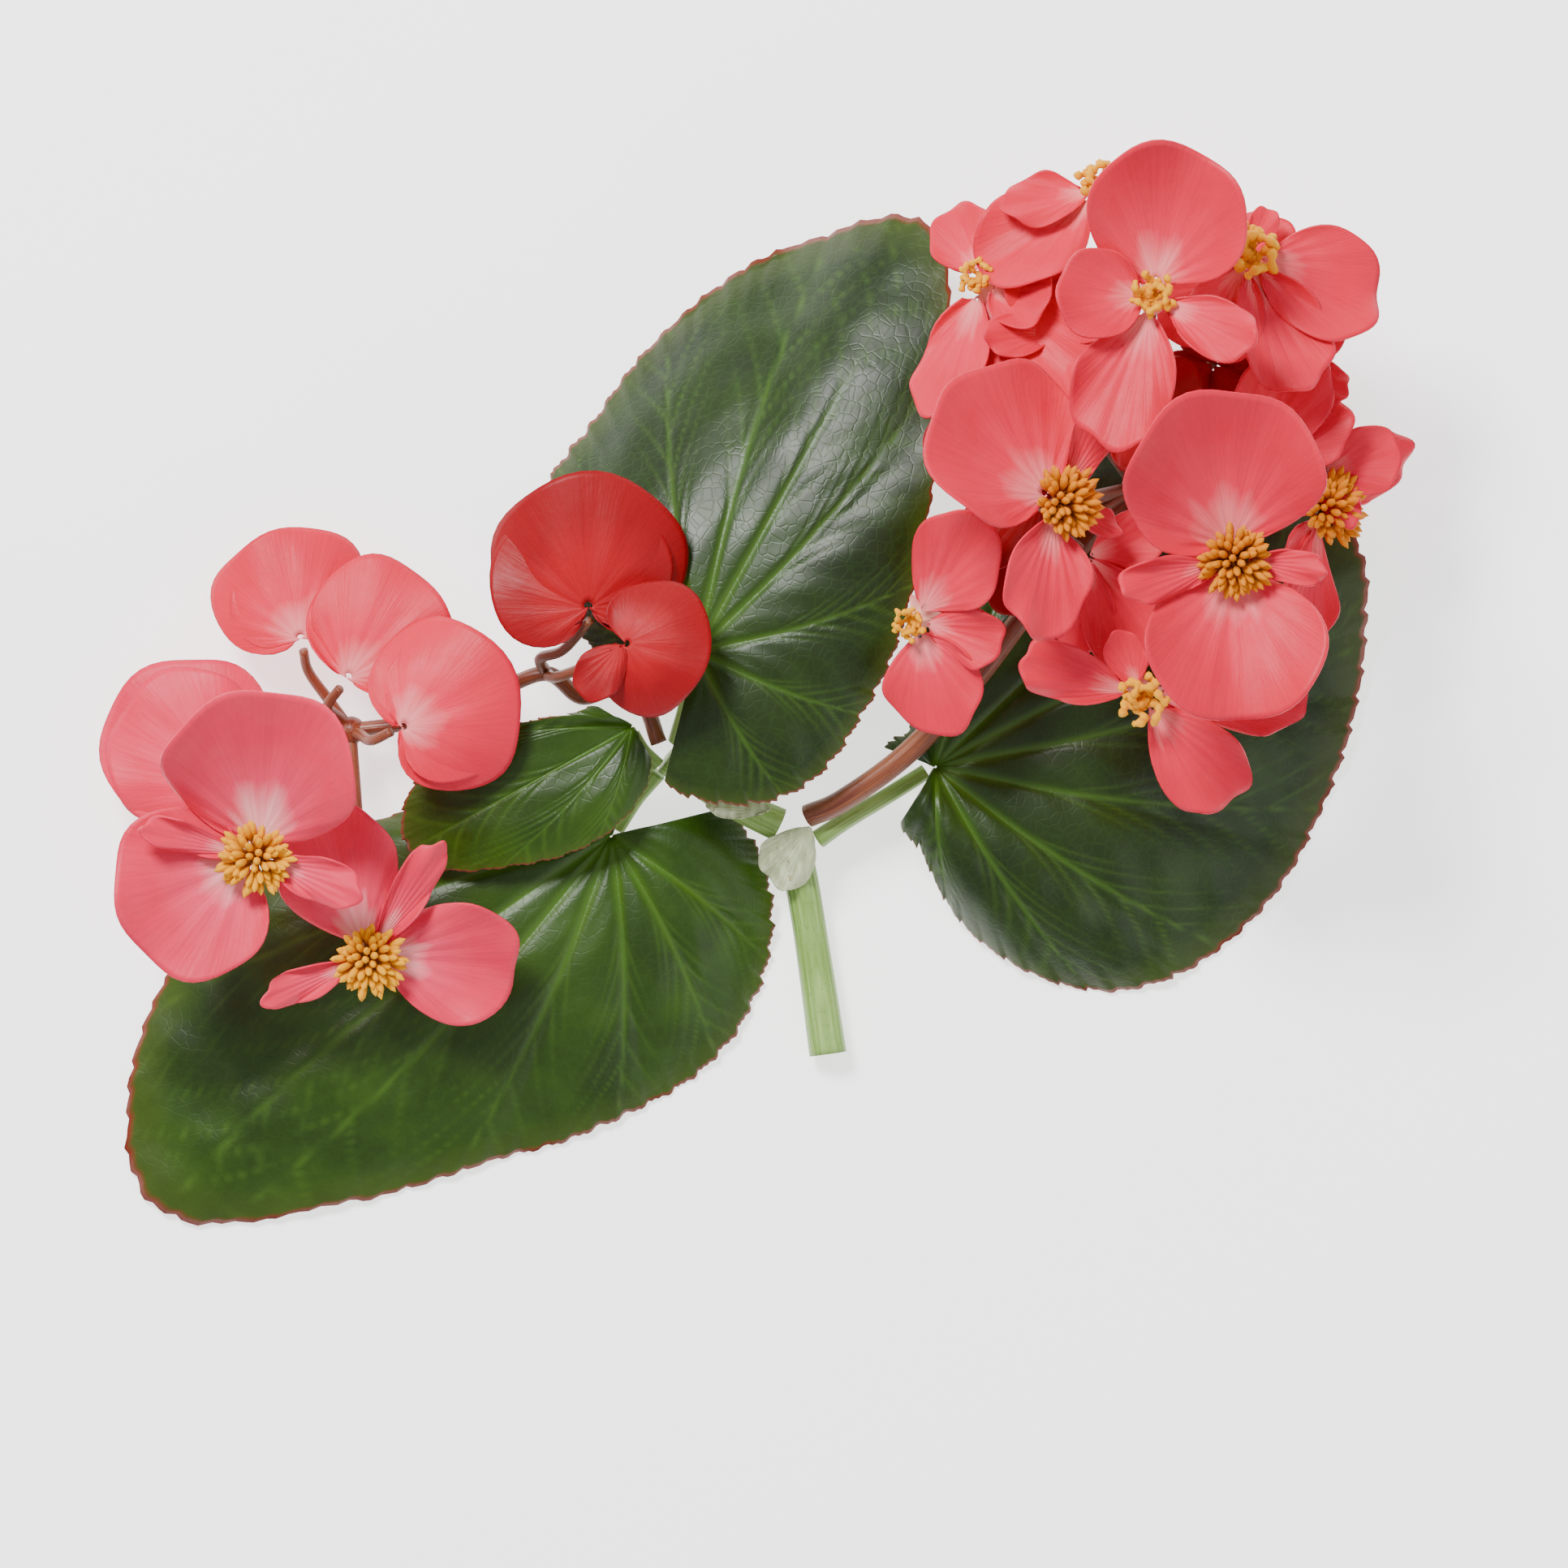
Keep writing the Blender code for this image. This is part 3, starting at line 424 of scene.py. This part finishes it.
def papery_material(name):
    """A dry stipule: translucent-looking pale green with fibres and small brown specks."""
    n = Nodes(name)
    radial, across = n.attribute("radial"), n.attribute("across")
    fibres = n.noise(1.0, 5.0, n.stretched(across, radial, 24, 3), 0.7)
    tone = n.ramp(fibres, ((0.3, (0.36, 0.44, 0.20)), (0.7, (0.72, 0.76, 0.52))))
    specks = n.ramp(n.noise(700.0, 2.0), ((0.66, (0, 0, 0)), (0.74, (1, 1, 1))))
    n.link(n.mix(n.math("MULTIPLY", specks, 0.6), tone, (0.22, 0.14, 0.06)), n.shader.inputs["Base Color"])
    n.shader.inputs["Roughness"].default_value = 0.7
    n.bump(fibres, 0.6, 0.0005)
    return n.material


# ---------------------------------------------------------------- mesh helpers

class Patch:
    """Points, faces and point values of one piece, gathered from several grids."""

    def __init__(self):
        self.points, self.faces, self.values, self.count = [], [], [], 0

    def grid(self, points, radial, across, vein=None, seed=0.0, wrap=False, caps=False):
        """Adds rows by columns of points; wrap closes each row and caps close the two ends."""
        rows, columns = points.shape[:2]
        index = np.arange(rows * columns).reshape(rows, columns) + self.count
        right = np.roll(index, -1, axis=1) if wrap else index[:, 1:]
        left = index if wrap else index[:, :-1]
        quads = np.stack([left[:-1], left[1:], right[1:], right[:-1]], axis=-1).reshape(-1, 4)
        self.faces.extend(quads.tolist())
        if caps:
            self.faces.append(index[0].tolist())
            self.faces.append(index[-1][::-1].tolist())
        vein = np.zeros(points.shape[:2]) if vein is None else vein
        shape = points.shape[:2]
        own = [np.broadcast_to(v, shape).ravel() for v in (radial, across, vein, seed)]
        self.values.append(np.stack(own, 1))
        self.points.append(points.reshape(-1, 3))
        self.count += rows * columns

    def make(self, name, materials, sheet=0.0):
        """The piece as an object, with its point values and, for a sheet, its thickness."""
        mesh = bpy.data.meshes.new(name)
        mesh.from_pydata(metres(np.concatenate(self.points)).tolist(), [], self.faces)
        values = np.concatenate(self.values)
        for column, label in enumerate(("radial", "across", "vein", "piece_seed")):
            data = mesh.attributes.new(label, "FLOAT", "POINT")
            data.data.foreach_set("value", values[:, column].astype(np.float32))
        for material in materials:
            mesh.materials.append(material)
        mesh.shade_smooth()
        piece = bpy.data.objects.new(name, mesh)
        bpy.context.scene.collection.objects.link(piece)
        if sheet:
            shell = piece.modifiers.new("thickness", "SOLIDIFY")
            shell.thickness, shell.offset = sheet * MM, -1.0
            shell.material_offset = len(materials) - 1
        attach(piece, "root")
        return piece


def hermite(rim, angle):
    """Radius and height of a leaf's rim at these angles, smooth between the table's points."""
    angles, radii, heights = (np.array(column, float) for column in zip(*rim))
    i = np.clip(np.searchsorted(angles, angle) - 1, 0, len(angles) - 2)
    width = angles[i + 1] - angles[i]
    t = (angle - angles[i]) / width
    out = []
    for values in (radii, heights):
        slopes = np.gradient(values, angles)
        out.append(values[i] * (1 + 2 * t) * (1 - t) ** 2 + values[i + 1] * t * t * (3 - 2 * t)
                   + width * t * (1 - t) * (slopes[i] * (1 - t) - slopes[i + 1] * t))
    return out


def make_leaf(name, spec, material, back, rows=60, columns=400):
    """A leaf blade: the CAD's surface with veins, puckered fields and a toothed, wavy edge."""
    base, rim = spec["base"], spec["rim"]
    first, last = rim[0][0], rim[-1][0]
    v = np.linspace(-1, 1, columns)
    angle = np.where(v < 0, first * -v, last * v)
    radius, height = hermite(rim, angle)
    turn = np.radians(spec["heading"] + angle)
    edge = np.stack([radius * np.cos(turn), radius * np.sin(turn)], 1)
    arc = np.concatenate([[0], np.cumsum(np.linalg.norm(np.diff(edge, axis=0), axis=1))])
    size = radius.max() / 80
    tooth = 0.75 * ((arc / 4.3) % 1.0) ** 0.8 + 0.35 * ((arc / 1.45) % 1.0)
    radius_toothed = radius + (tooth - 0.5) * (0.5 + 0.6 * size)
    u = np.linspace(0.001, 1, rows)[:, None] ** 0.8
    reach = u * (radius + (radius_toothed - radius) * u ** 12)
    lines, pucker = VEINS[name]
    lines = np.array(lines, float)
    bow = 10.0 * (u ** 1.5)
    vein = np.zeros((rows, columns))
    for line in lines:
        course = line + bow * (np.sign(line) * -0.6 if line else 0.0)
        off = np.abs(angle[None, :] - course) * np.pi / 180 * reach
        thick = 0.75 * size * (1.15 - u)
        vein = np.maximum(vein, np.exp(-(off / np.maximum(thick, 0.16)) ** 2) * (1.05 - 0.45 * u))
        for k, start in enumerate((0.28, 0.42, 0.56, 0.70, 0.82)):
            for side in (-1, 1):
                branch = course + side * (26 + 4 * k) * (u - start - 0.03 * side)
                off = np.abs(angle[None, :] - branch) * np.pi / 180 * reach
                on = (u > start + 0.03 * side) & (u < start + 0.42)
                fade = np.clip(1.0 - (u - start) / 0.42, 0, 1)
                vein = np.maximum(vein, np.exp(-(off / 0.24) ** 2) * on * fade * 0.55)
    low = np.searchsorted(lines, angle) - 1
    left = np.where(low < 0, lines[0] - 40, lines[np.clip(low, 0, None)])
    right = np.where(low + 1 >= len(lines), lines[-1] + 45, lines[np.clip(low + 1, 0, len(lines) - 1)])
    field = np.sin(np.pi * np.clip((angle - left) / (right - left), 0, 1)) ** 0.7
    z = base[2] + (height[None, :] - base[2]) * u ** 2 + spec["arch"] * 3 * u * (1 - u)
    z = z + pucker * field[None, :] * np.sin(np.pi * np.clip(u, 0, 1) ** 0.8) * 0.8 * u
    z = z + pucker * 0.35 * np.sin(arc / 3.6)[None, :] * u ** 5
    z = z + 0.10 * pucker * np.sin(reach * 0.7 + angle[None, :] * 0.35) * u * (1 - vein)
    z = z - 0.30 * vein * (1 - u ** 4)
    z = np.maximum(z, LEAF_FLOOR + 0.25 * (1 + np.sin(arc / 2.3))[None, :] * u ** 3)
    points = np.stack([base[0] + reach * np.cos(turn), base[1] + reach * np.sin(turn), z], -1)
    patch = Patch()
    patch.grid(points, np.broadcast_to(u, (rows, columns)), v[None, :], vein)
    piece = patch.make(f"{name}_blade", (material, back), LEAF_SHEET)
    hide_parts(name)


def flower_axes(azimuth, tilt):
    """The flower's two plan directions, turned with its face, and the way it faces."""
    a, t = math.radians(azimuth), math.radians(tilt)
    face = Vector((math.sin(t) * math.cos(a), math.sin(t) * math.sin(a), math.cos(t)))
    turn = Vector((0, 0, 1)).rotation_difference(face)
    return tuple(np.array(v) for v in (turn @ Vector((1, 0, 0)), turn @ Vector((0, 1, 0)), face))


def tepal_grid(patch, at, axes, spec, start, seed, rows=22, columns=44, ruffle=1.05):
    """Adds one tepal's inner face to a patch, wavy at its rim and lightly puckered along its veins."""
    across_x, across_y, face = axes
    yaw, rise = math.radians(spec["yaw"]), math.radians(spec["rise"])
    out = across_x * math.cos(yaw) + across_y * math.sin(yaw)
    side = np.cross(face, out)
    along = out * math.cos(rise) + face * math.sin(rise)
    up = face * math.cos(rise) - out * math.sin(rise)
    length, spread = spec["length"], spec["spread"]
    v = np.linspace(-1, 1, columns)[None, :]
    u = np.linspace(0.05, 1, rows)[:, None]
    angle = v * spread * 0.97
    reach = length * np.cos(np.radians(90 * angle / spread)) ** spec["power"]
    rng = np.random.default_rng(int(seed * 100))
    a, b, c = rng.uniform(0, 6.28, 3)
    reach = reach * (1 + 0.018 * np.sin(15 * v + a) + 0.022 * np.sin(7 * v + b)) * u
    x, y = reach * np.cos(np.radians(angle)), reach * np.sin(np.radians(angle))
    total = math.radians(spec["curl"]) or 1e-3
    ahead = length / total * np.sin(total * x / length)
    lifted = length / total * (1 - np.cos(total * x / length))
    bowl = spec["cup"] * (y / length) ** 2 * length * 2
    wave = ruffle * length / 20 * (np.sin(v * 7 + a) * u ** 3 + 0.6 * np.sin(v * 13 + c) * u ** 5)
    crease = 0.10 * np.sin(v * 34) * np.sin(np.pi * u) * length / 20
    fold = -0.35 * np.exp(-(y / (0.10 * length)) ** 2) * np.sin(np.pi * u) * length / 20
    height = lifted + bowl + wave + crease + fold
    lift = spec["lift"]
    origin = np.array(at) + out * start + face * lift
    points = (origin + ahead[..., None] * along + y[..., None] * side + height[..., None] * up)
    shape = (rows, columns)
    patch.grid(points, np.broadcast_to(u, shape), np.broadcast_to(v, shape), seed=seed)


def smooth_route(points, steps):
    """Catmull-Rom points through a route."""
    pts = [np.array(p, float) for p in points]
    pts = [2 * pts[0] - pts[1]] + pts + [2 * pts[-1] - pts[-2]]
    out = []
    for a, b, c, d in zip(pts, pts[1:], pts[2:], pts[3:]):
        for k in range(steps):
            t = k / steps
            out.append(0.5 * (2 * b + (c - a) * t + (2 * a - 5 * b + 4 * c - d) * t ** 2
                              + (3 * b - a - 3 * c + d) * t ** 3))
    return np.array(out + [pts[-2]])


def tube_grid(patch, route, radii, seed, sides=20, ridge=0.04, caps=True):
    """Adds a round stalk along the route to a patch; radii are read evenly along it."""
    tangent = np.gradient(route, axis=0)
    tangent /= np.linalg.norm(tangent, axis=1)[:, None]
    normal = np.cross(tangent[0], (0.0, 0.31, 0.95))
    normal /= np.linalg.norm(normal)
    rings = []
    count = len(route)
    size = np.interp(np.linspace(0, 1, count), np.linspace(0, 1, len(radii)), radii)
    around = np.linspace(0, 2 * np.pi, sides, endpoint=False)
    for point, way, r in zip(route, tangent, size):
        normal = normal - way * normal.dot(way)
        normal /= np.linalg.norm(normal)
        other = np.cross(way, normal)
        shape = r * (1 + ridge * np.sin(3 * around + seed) + ridge * 0.5 * np.sin(7 * around))
        circle = np.cos(around)[:, None] * normal + np.sin(around)[:, None] * other
        rings.append(point + shape[:, None] * circle)
    length = np.concatenate([[0], np.cumsum(np.linalg.norm(np.diff(route, axis=0), axis=1))])
    radial = np.broadcast_to((length / 20)[:, None], (count, sides))
    across = np.broadcast_to(np.sin(around)[None, :], (count, sides))
    patch.grid(np.array(rings)[:, ::-1], radial, across[:, ::-1], seed=seed, wrap=True, caps=caps)


def club(patch, start, way, length, radius, seed, tip=1.6):
    """Adds a thin stalk with a rounded, thicker end."""
    t = np.linspace(0, 1, 9)
    shape = np.where(t < 0.5, 0.45, np.sin(np.pi * np.clip((t - 0.42) / 0.60, 0, 1)) ** 0.5 * tip)
    shape[0], shape[-1] = 0.4, 0.12
    route = start + np.outer(t * length, way)
    tube_grid(patch, route, radius * shape, seed, sides=7, ridge=0.0)
    values = patch.values[-1]
    values[:, 0] = np.repeat(t, 7)


def stamens(at, axes, spread, height, seed, count=74):
    """A tuft of stamens that fans out from the receptacle."""
    patch = Patch()
    x, y, face = axes
    rng = np.random.default_rng(int(seed * 10) + 5)
    for k in range(count):
        lean = math.sqrt((k + 0.5) / count)
        turn = k * 2.39996 + rng.uniform(-0.2, 0.2)
        way = face * (1.0 - 0.35 * lean) + (x * math.cos(turn) + y * math.sin(turn)) * lean * spread
        way = way / np.linalg.norm(way)
        start = np.array(at) + face * 0.8 + (x * math.cos(turn) + y * math.sin(turn)) * lean * 0.9
        club(patch, start, way, height * rng.uniform(0.82, 1.08), 0.36, seed + k)
    return patch


def stigmas(at, axes, size, seed):
    """Three styles, each forked into two curled, knobbly yellow lobes."""
    patch = Patch()
    x, y, face = axes
    for k in range(6):
        turn = k * math.pi / 3 + seed
        out = x * math.cos(turn) + y * math.sin(turn)
        side = np.cross(face, out)
        t = np.linspace(0, 1, 40)[:, None]
        coil = 2 * math.pi * 1.35 * t
        centre = np.array(at) + face * (0.6 + 2.6 * t ** 0.7) + out * (size * 0.78 * t)
        wide = 0.95 * np.clip(t * 3, 0, 1) * size / 4
        route = centre + wide * (np.cos(coil + k) * side + np.sin(coil + k) * face)
        knob = 0.48 + 0.14 * np.sin(np.linspace(0, 38, 40) + k)
        knob[:6] = 0.42
        knob[-1] = 0.12
        tube_grid(patch, route, knob * size / 4, seed + k, sides=9, ridge=0.12)
        patch.values[-1][:, 0] = np.repeat(np.linspace(0.3, 1, 40), 9)
    return patch


def ovary(name, at, axes, material, seed):
    """The three-winged ovary behind a female flower."""
    patch = Patch()
    x, y, face = axes
    t = np.linspace(0, 1, 14)
    around = np.linspace(0, 2 * np.pi, 42, endpoint=False)
    rings = []
    for s in t:
        body = 0.55 + 1.15 * math.sin(math.pi * min(1, s * 1.02 + 0.02)) ** 0.6
        wing = 1.9 * math.sin(math.pi * s) ** 0.8 * np.clip(np.cos(1.5 * around) ** 2, 0, 1) ** 14
        r = body + wing
        rings.append(np.array(at) - face * (0.7 + OVARY_LENGTH * s)
                     + r[:, None] * (np.cos(around)[:, None] * x + np.sin(around)[:, None] * y))
    shape = (len(t), len(around))
    patch.grid(np.array(rings), np.broadcast_to(0.2 + t[:, None] * 0.6, shape),
               np.broadcast_to(np.sin(around)[None, :], shape), seed=seed, wrap=True, caps=True)
    piece = patch.make(f"{name}_ovary", (material,))
    return piece


def make_flower(label, spec, seed, looks):
    """All the pieces of one flower."""
    axes = flower_axes(*spec["face"])
    material = looks[spec["slot"]]
    start = RECEPTACLE + GAP if spec.get("head") else 0.3
    whole = Patch()
    for k, tepal_spec in enumerate(spec["tepals"]):
        if label in RIGHT_CLUSTER:
            tepal_spec = {**tepal_spec, "length": tepal_spec["length"] * BROADER,
                          "spread": min(88, tepal_spec["spread"] * BROADER)}
        own = Patch() if spec.get("apart") else whole
        tepal_grid(own, spec["at"], axes, tepal_spec, start, seed + k * 1.7)
        if spec.get("apart"):
            node = f"{label}_tepal_{tepal_spec['name']}"
            piece = own.make(f"{node}_petal", (material,), TEPAL_SHEET)
            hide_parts(node)
    if not spec.get("apart"):
        piece = whole.make(f"{label}_petals", (material,), TEPAL_SHEET)
        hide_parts(f"{label}_tepals")
    if not spec.get("head"):
        return
    female = spec["kind"] == "female"
    wide = max(spec["head"][:2])
    if female:
        patch = stigmas(spec["at"], axes, wide * 1.35, seed)
    else:
        patch = stamens(spec["at"], axes, 1.35, 4.4 + wide * 0.4, seed)
    node = f"{label}_{'stigmas' if female else 'stamens'}"
    piece = patch.make(f"{node}_tuft", (looks["pollen_bright" if female or seed < 5 else "pollen"],))
    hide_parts(node)
    if female:
        piece = ovary(label, spec["at"], axes, looks["ovary"], seed)


def make_inner_flower(index, spec, looks):
    """One half-hidden flower of the right cluster, with its pedicel from the joint."""
    at, facing, turn, length, look = spec
    axes = flower_axes(*facing)
    patch = Patch()
    for k in range(4):
        wide = k % 2 == 0
        own = tepal(str(k), turn + 90 * k, 26 if wide else 40, length * (1.0 if wide else 0.85),
                    62 if wide else 40, 0.6, 0.2, -18.0)
        tepal_grid(patch, at, axes, own, 0.2, 60.0 + index * 5 + k, ruffle=0.9)
    piece = patch.make(f"inner_flower_{index + 1}", (looks[look],), TEPAL_SHEET)
    stalk = Patch()
    end = Vector(at) - Vector(axes[2]) * 0.4
    knee = end - Vector(axes[2]) * 3.0
    tube_grid(stalk, smooth_route((RIGHT_HUB, knee, end), 8), PEDICEL_RADII, 40.0 + index, sides=12)
    piece = stalk.make(f"inner_pedicel_{index + 1}", (looks["stalk"],))


def back_of(name):
    """Where a flower's stalk ends, and the way it comes in from behind."""
    spec = FLOWERS[name]
    face = Vector(flower_axes(*spec["face"])[2])
    if "stalk" in spec:
        face = Vector(spec["stalk"]).normalized()
    elif spec["kind"] == "bud":
        turns = [math.radians(t["yaw"]) for t in spec["tepals"]]
        inward = Vector((sum(math.cos(t) for t in turns), sum(math.sin(t) for t in turns), 0)).normalized()
        face = (inward * 0.8 + face * 0.6).normalized()
    depth = OVARY_LENGTH + 0.6 if spec["kind"] == "female" else 1.1
    depth += BUD_SETBACK if spec["kind"] == "bud" else 0.0
    return Vector(spec["at"]) - face * (depth + GAP * 0.3), face


def make_peduncle(label, spec, material):
    """A main stalk with its joint and a pedicel to each flower."""
    patch = Patch()
    hub = spec["hub"]
    tube_grid(patch, smooth_route(tuple(spec["route"]) + (hub,), 10), spec["radii"], 1.0)
    t = np.linspace(-1, 1, 9)
    joint = np.array(hub) + np.outer(t * 2.0, (0, 0, 1.0))
    tube_grid(patch, joint, 2.1 * np.sqrt(np.clip(1.02 - t ** 2, 0.02, 1)), 2.0)
    for k, flower in enumerate(spec["flowers"]):
        end, face = back_of(flower)
        knee = end - face * 4.0
        middle = (Vector(hub) + knee) / 2
        middle.z = min(hub[2], knee.z) + 0.3 * abs(hub[2] - knee.z)
        tube_grid(patch, smooth_route((hub, middle, knee, end), 8), PEDICEL_RADII, 3.0 + k, sides=12)
    for k, (flower, via) in enumerate(BRANCHES.items() if label == "peduncle_left" else ()):
        end, face = back_of(flower)
        tube_grid(patch, smooth_route((*via, end), 8), PEDICEL_RADII, 20.0 + k, sides=12)
    piece = patch.make(f"{label}_stalk", (material,))
    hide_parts(label)


def make_stalk(label, spec, material):
    """A plain stalk with a slightly swollen foot."""
    patch = Patch()
    first, last = spec["radii"]
    radii = (first * 1.03, (first + last) / 2 * 0.96, last)
    tube_grid(patch, smooth_route(spec["route"], 14), radii, 4.0, sides=28)
    piece = patch.make(f"{label}_stalk", (material,))
    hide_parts(label)


def make_stipule(label, spec, material):
    """A crumpled dry stipule that wraps a joint of the stem."""
    patch = Patch()
    tepal_grid(patch, spec["at"], flower_axes(0, 0), spec["spec"], 0.0, 3.3, 40, 60, 1.6)
    points = patch.points[0]
    crumple = 0.30 * np.sin(points[:, 0] * 2.1 + 1) * np.sin(points[:, 1] * 1.7)
    crumple += 0.18 * np.sin(points[:, 0] * 4.3)
    points[:, 2] += crumple
    piece = patch.make(f"{label}_sheet", (material,), 0.25)
    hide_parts(label)


# ---------------------------------------------------------------- stage

def area_light(name, place, size, power):
    data = bpy.data.lights.new(name, "AREA")
    data.size, data.energy = size, power
    lamp = bpy.data.objects.new(name, data)
    lamp.location = place
    aim = Vector((0, 0, 0)) - Vector(place)
    lamp.rotation_euler = aim.to_track_quat("-Z", "Y").to_euler()
    bpy.context.scene.collection.objects.link(lamp)


def make_stage():
    """A pale floor that gives off light, two soft lights and a camera that looks straight down."""
    n = Nodes("studio_floor")
    n.link(n.mix(n.noise(2.0), (0.93, 0.93, 0.93), (0.90, 0.90, 0.90)), n.shader.inputs["Base Color"])
    n.shader.inputs["Roughness"].default_value = 0.9
    n.shader.inputs["Emission Color"].default_value = (1.0, 1.0, 1.0, 1.0)
    n.shader.inputs["Emission Strength"].default_value = FLOOR_GLOW
    mesh = bpy.data.meshes.new("floor")
    corners = [(x * FLOOR_REACH, y * FLOOR_REACH, 0) for x, y in ((-1, -1), (1, -1), (1, 1), (-1, 1))]
    mesh.from_pydata(corners, [], [(0, 1, 2, 3)])
    mesh.materials.append(n.material)
    floor = bpy.data.objects.new("floor", mesh)
    bpy.context.scene.collection.objects.link(floor)
    world = bpy.data.worlds.new("studio")
    world.use_nodes = True
    world.node_tree.nodes["Background"].inputs["Color"].default_value = (1.0, 1.0, 1.0, 1.0)
    world.node_tree.nodes["Background"].inputs["Strength"].default_value = SKY_STRENGTH
    bpy.context.scene.world = world
    area_light("key", (-0.35, 0.55, 0.9), 0.30, 19.0)
    area_light("fill", (0.8, -0.5, 0.8), 0.8, 3.0)
    camera = bpy.data.cameras.new("camera")
    camera.lens = camera.sensor_width * CAMERA_HEIGHT / VIEW_WIDTH
    camera.clip_start, camera.clip_end = 0.05, 10.0
    eye = bpy.data.objects.new("camera", camera)
    eye.location = (0.0057, -0.0141, CAMERA_HEIGHT)
    bpy.context.scene.collection.objects.link(eye)
    bpy.context.scene.camera = eye


# ---------------------------------------------------------------- the sprig

LEAF_LOOKS = {
    "leaf": (leaf_material("leaf_dark_face", (0.0070, 0.017, 0.0010), (0.0140, 0.034, 0.002)), "leaf_dark"),
    "leaf_light": (leaf_material("leaf_light_face", (0.0120, 0.032, 0.0009), (0.026, 0.066, 0.0020)),
                   "leaf_light"),
}
leaf_back = underside_material("leaf_back", (0.15, 0.24, 0.09))
LOOKS = {slot: petal_material(f"tepal_{slot}_face", *tones) for slot, tones in PETALS.items()}
LOOKS["pollen"] = pollen_material("pollen_orange", (0.74, 0.26, 0.0005), (0.44, 0.10, 0.0005))
LOOKS["pollen_bright"] = pollen_material("pollen_yellow", (0.88, 0.42, 0.0005), (0.64, 0.22, 0.0005))
LOOKS["ovary"] = petal_material("ovary_skin", (0.75, 0.45, 0.30), (0.85, 0.30, 0.25), (0.80, 0.16, 0.15))
green_stem = stem_material("stem_skin", (0.34, 0.50, 0.15), (0.12, 0.25, 0.025), 1.2)
brown_stalk = stem_material("stalk_skin", (0.26, 0.075, 0.022), (0.11, 0.018, 0.009), 1.5)
papery = papery_material("stipule_skin")
LOOKS["stalk"] = brown_stalk

make_stage()
for label, spec in LEAVES.items():
    face, slot = LEAF_LOOKS[spec["slot"]]
    make_leaf(label, spec, face, leaf_back)
for label, spec in STALKS.items():
    make_stalk(label, spec, green_stem)
for label, spec in PEDUNCLES.items():
    make_peduncle(label, spec, brown_stalk)
for label, spec in STIPULES.items():
    make_stipule(label, spec, papery)
for index, (label, spec) in enumerate(FLOWERS.items()):
    make_flower(label, spec, float(index + 1), LOOKS)
for index, spec in enumerate(INNER_FLOWERS):
    make_inner_flower(index, spec, LOOKS)
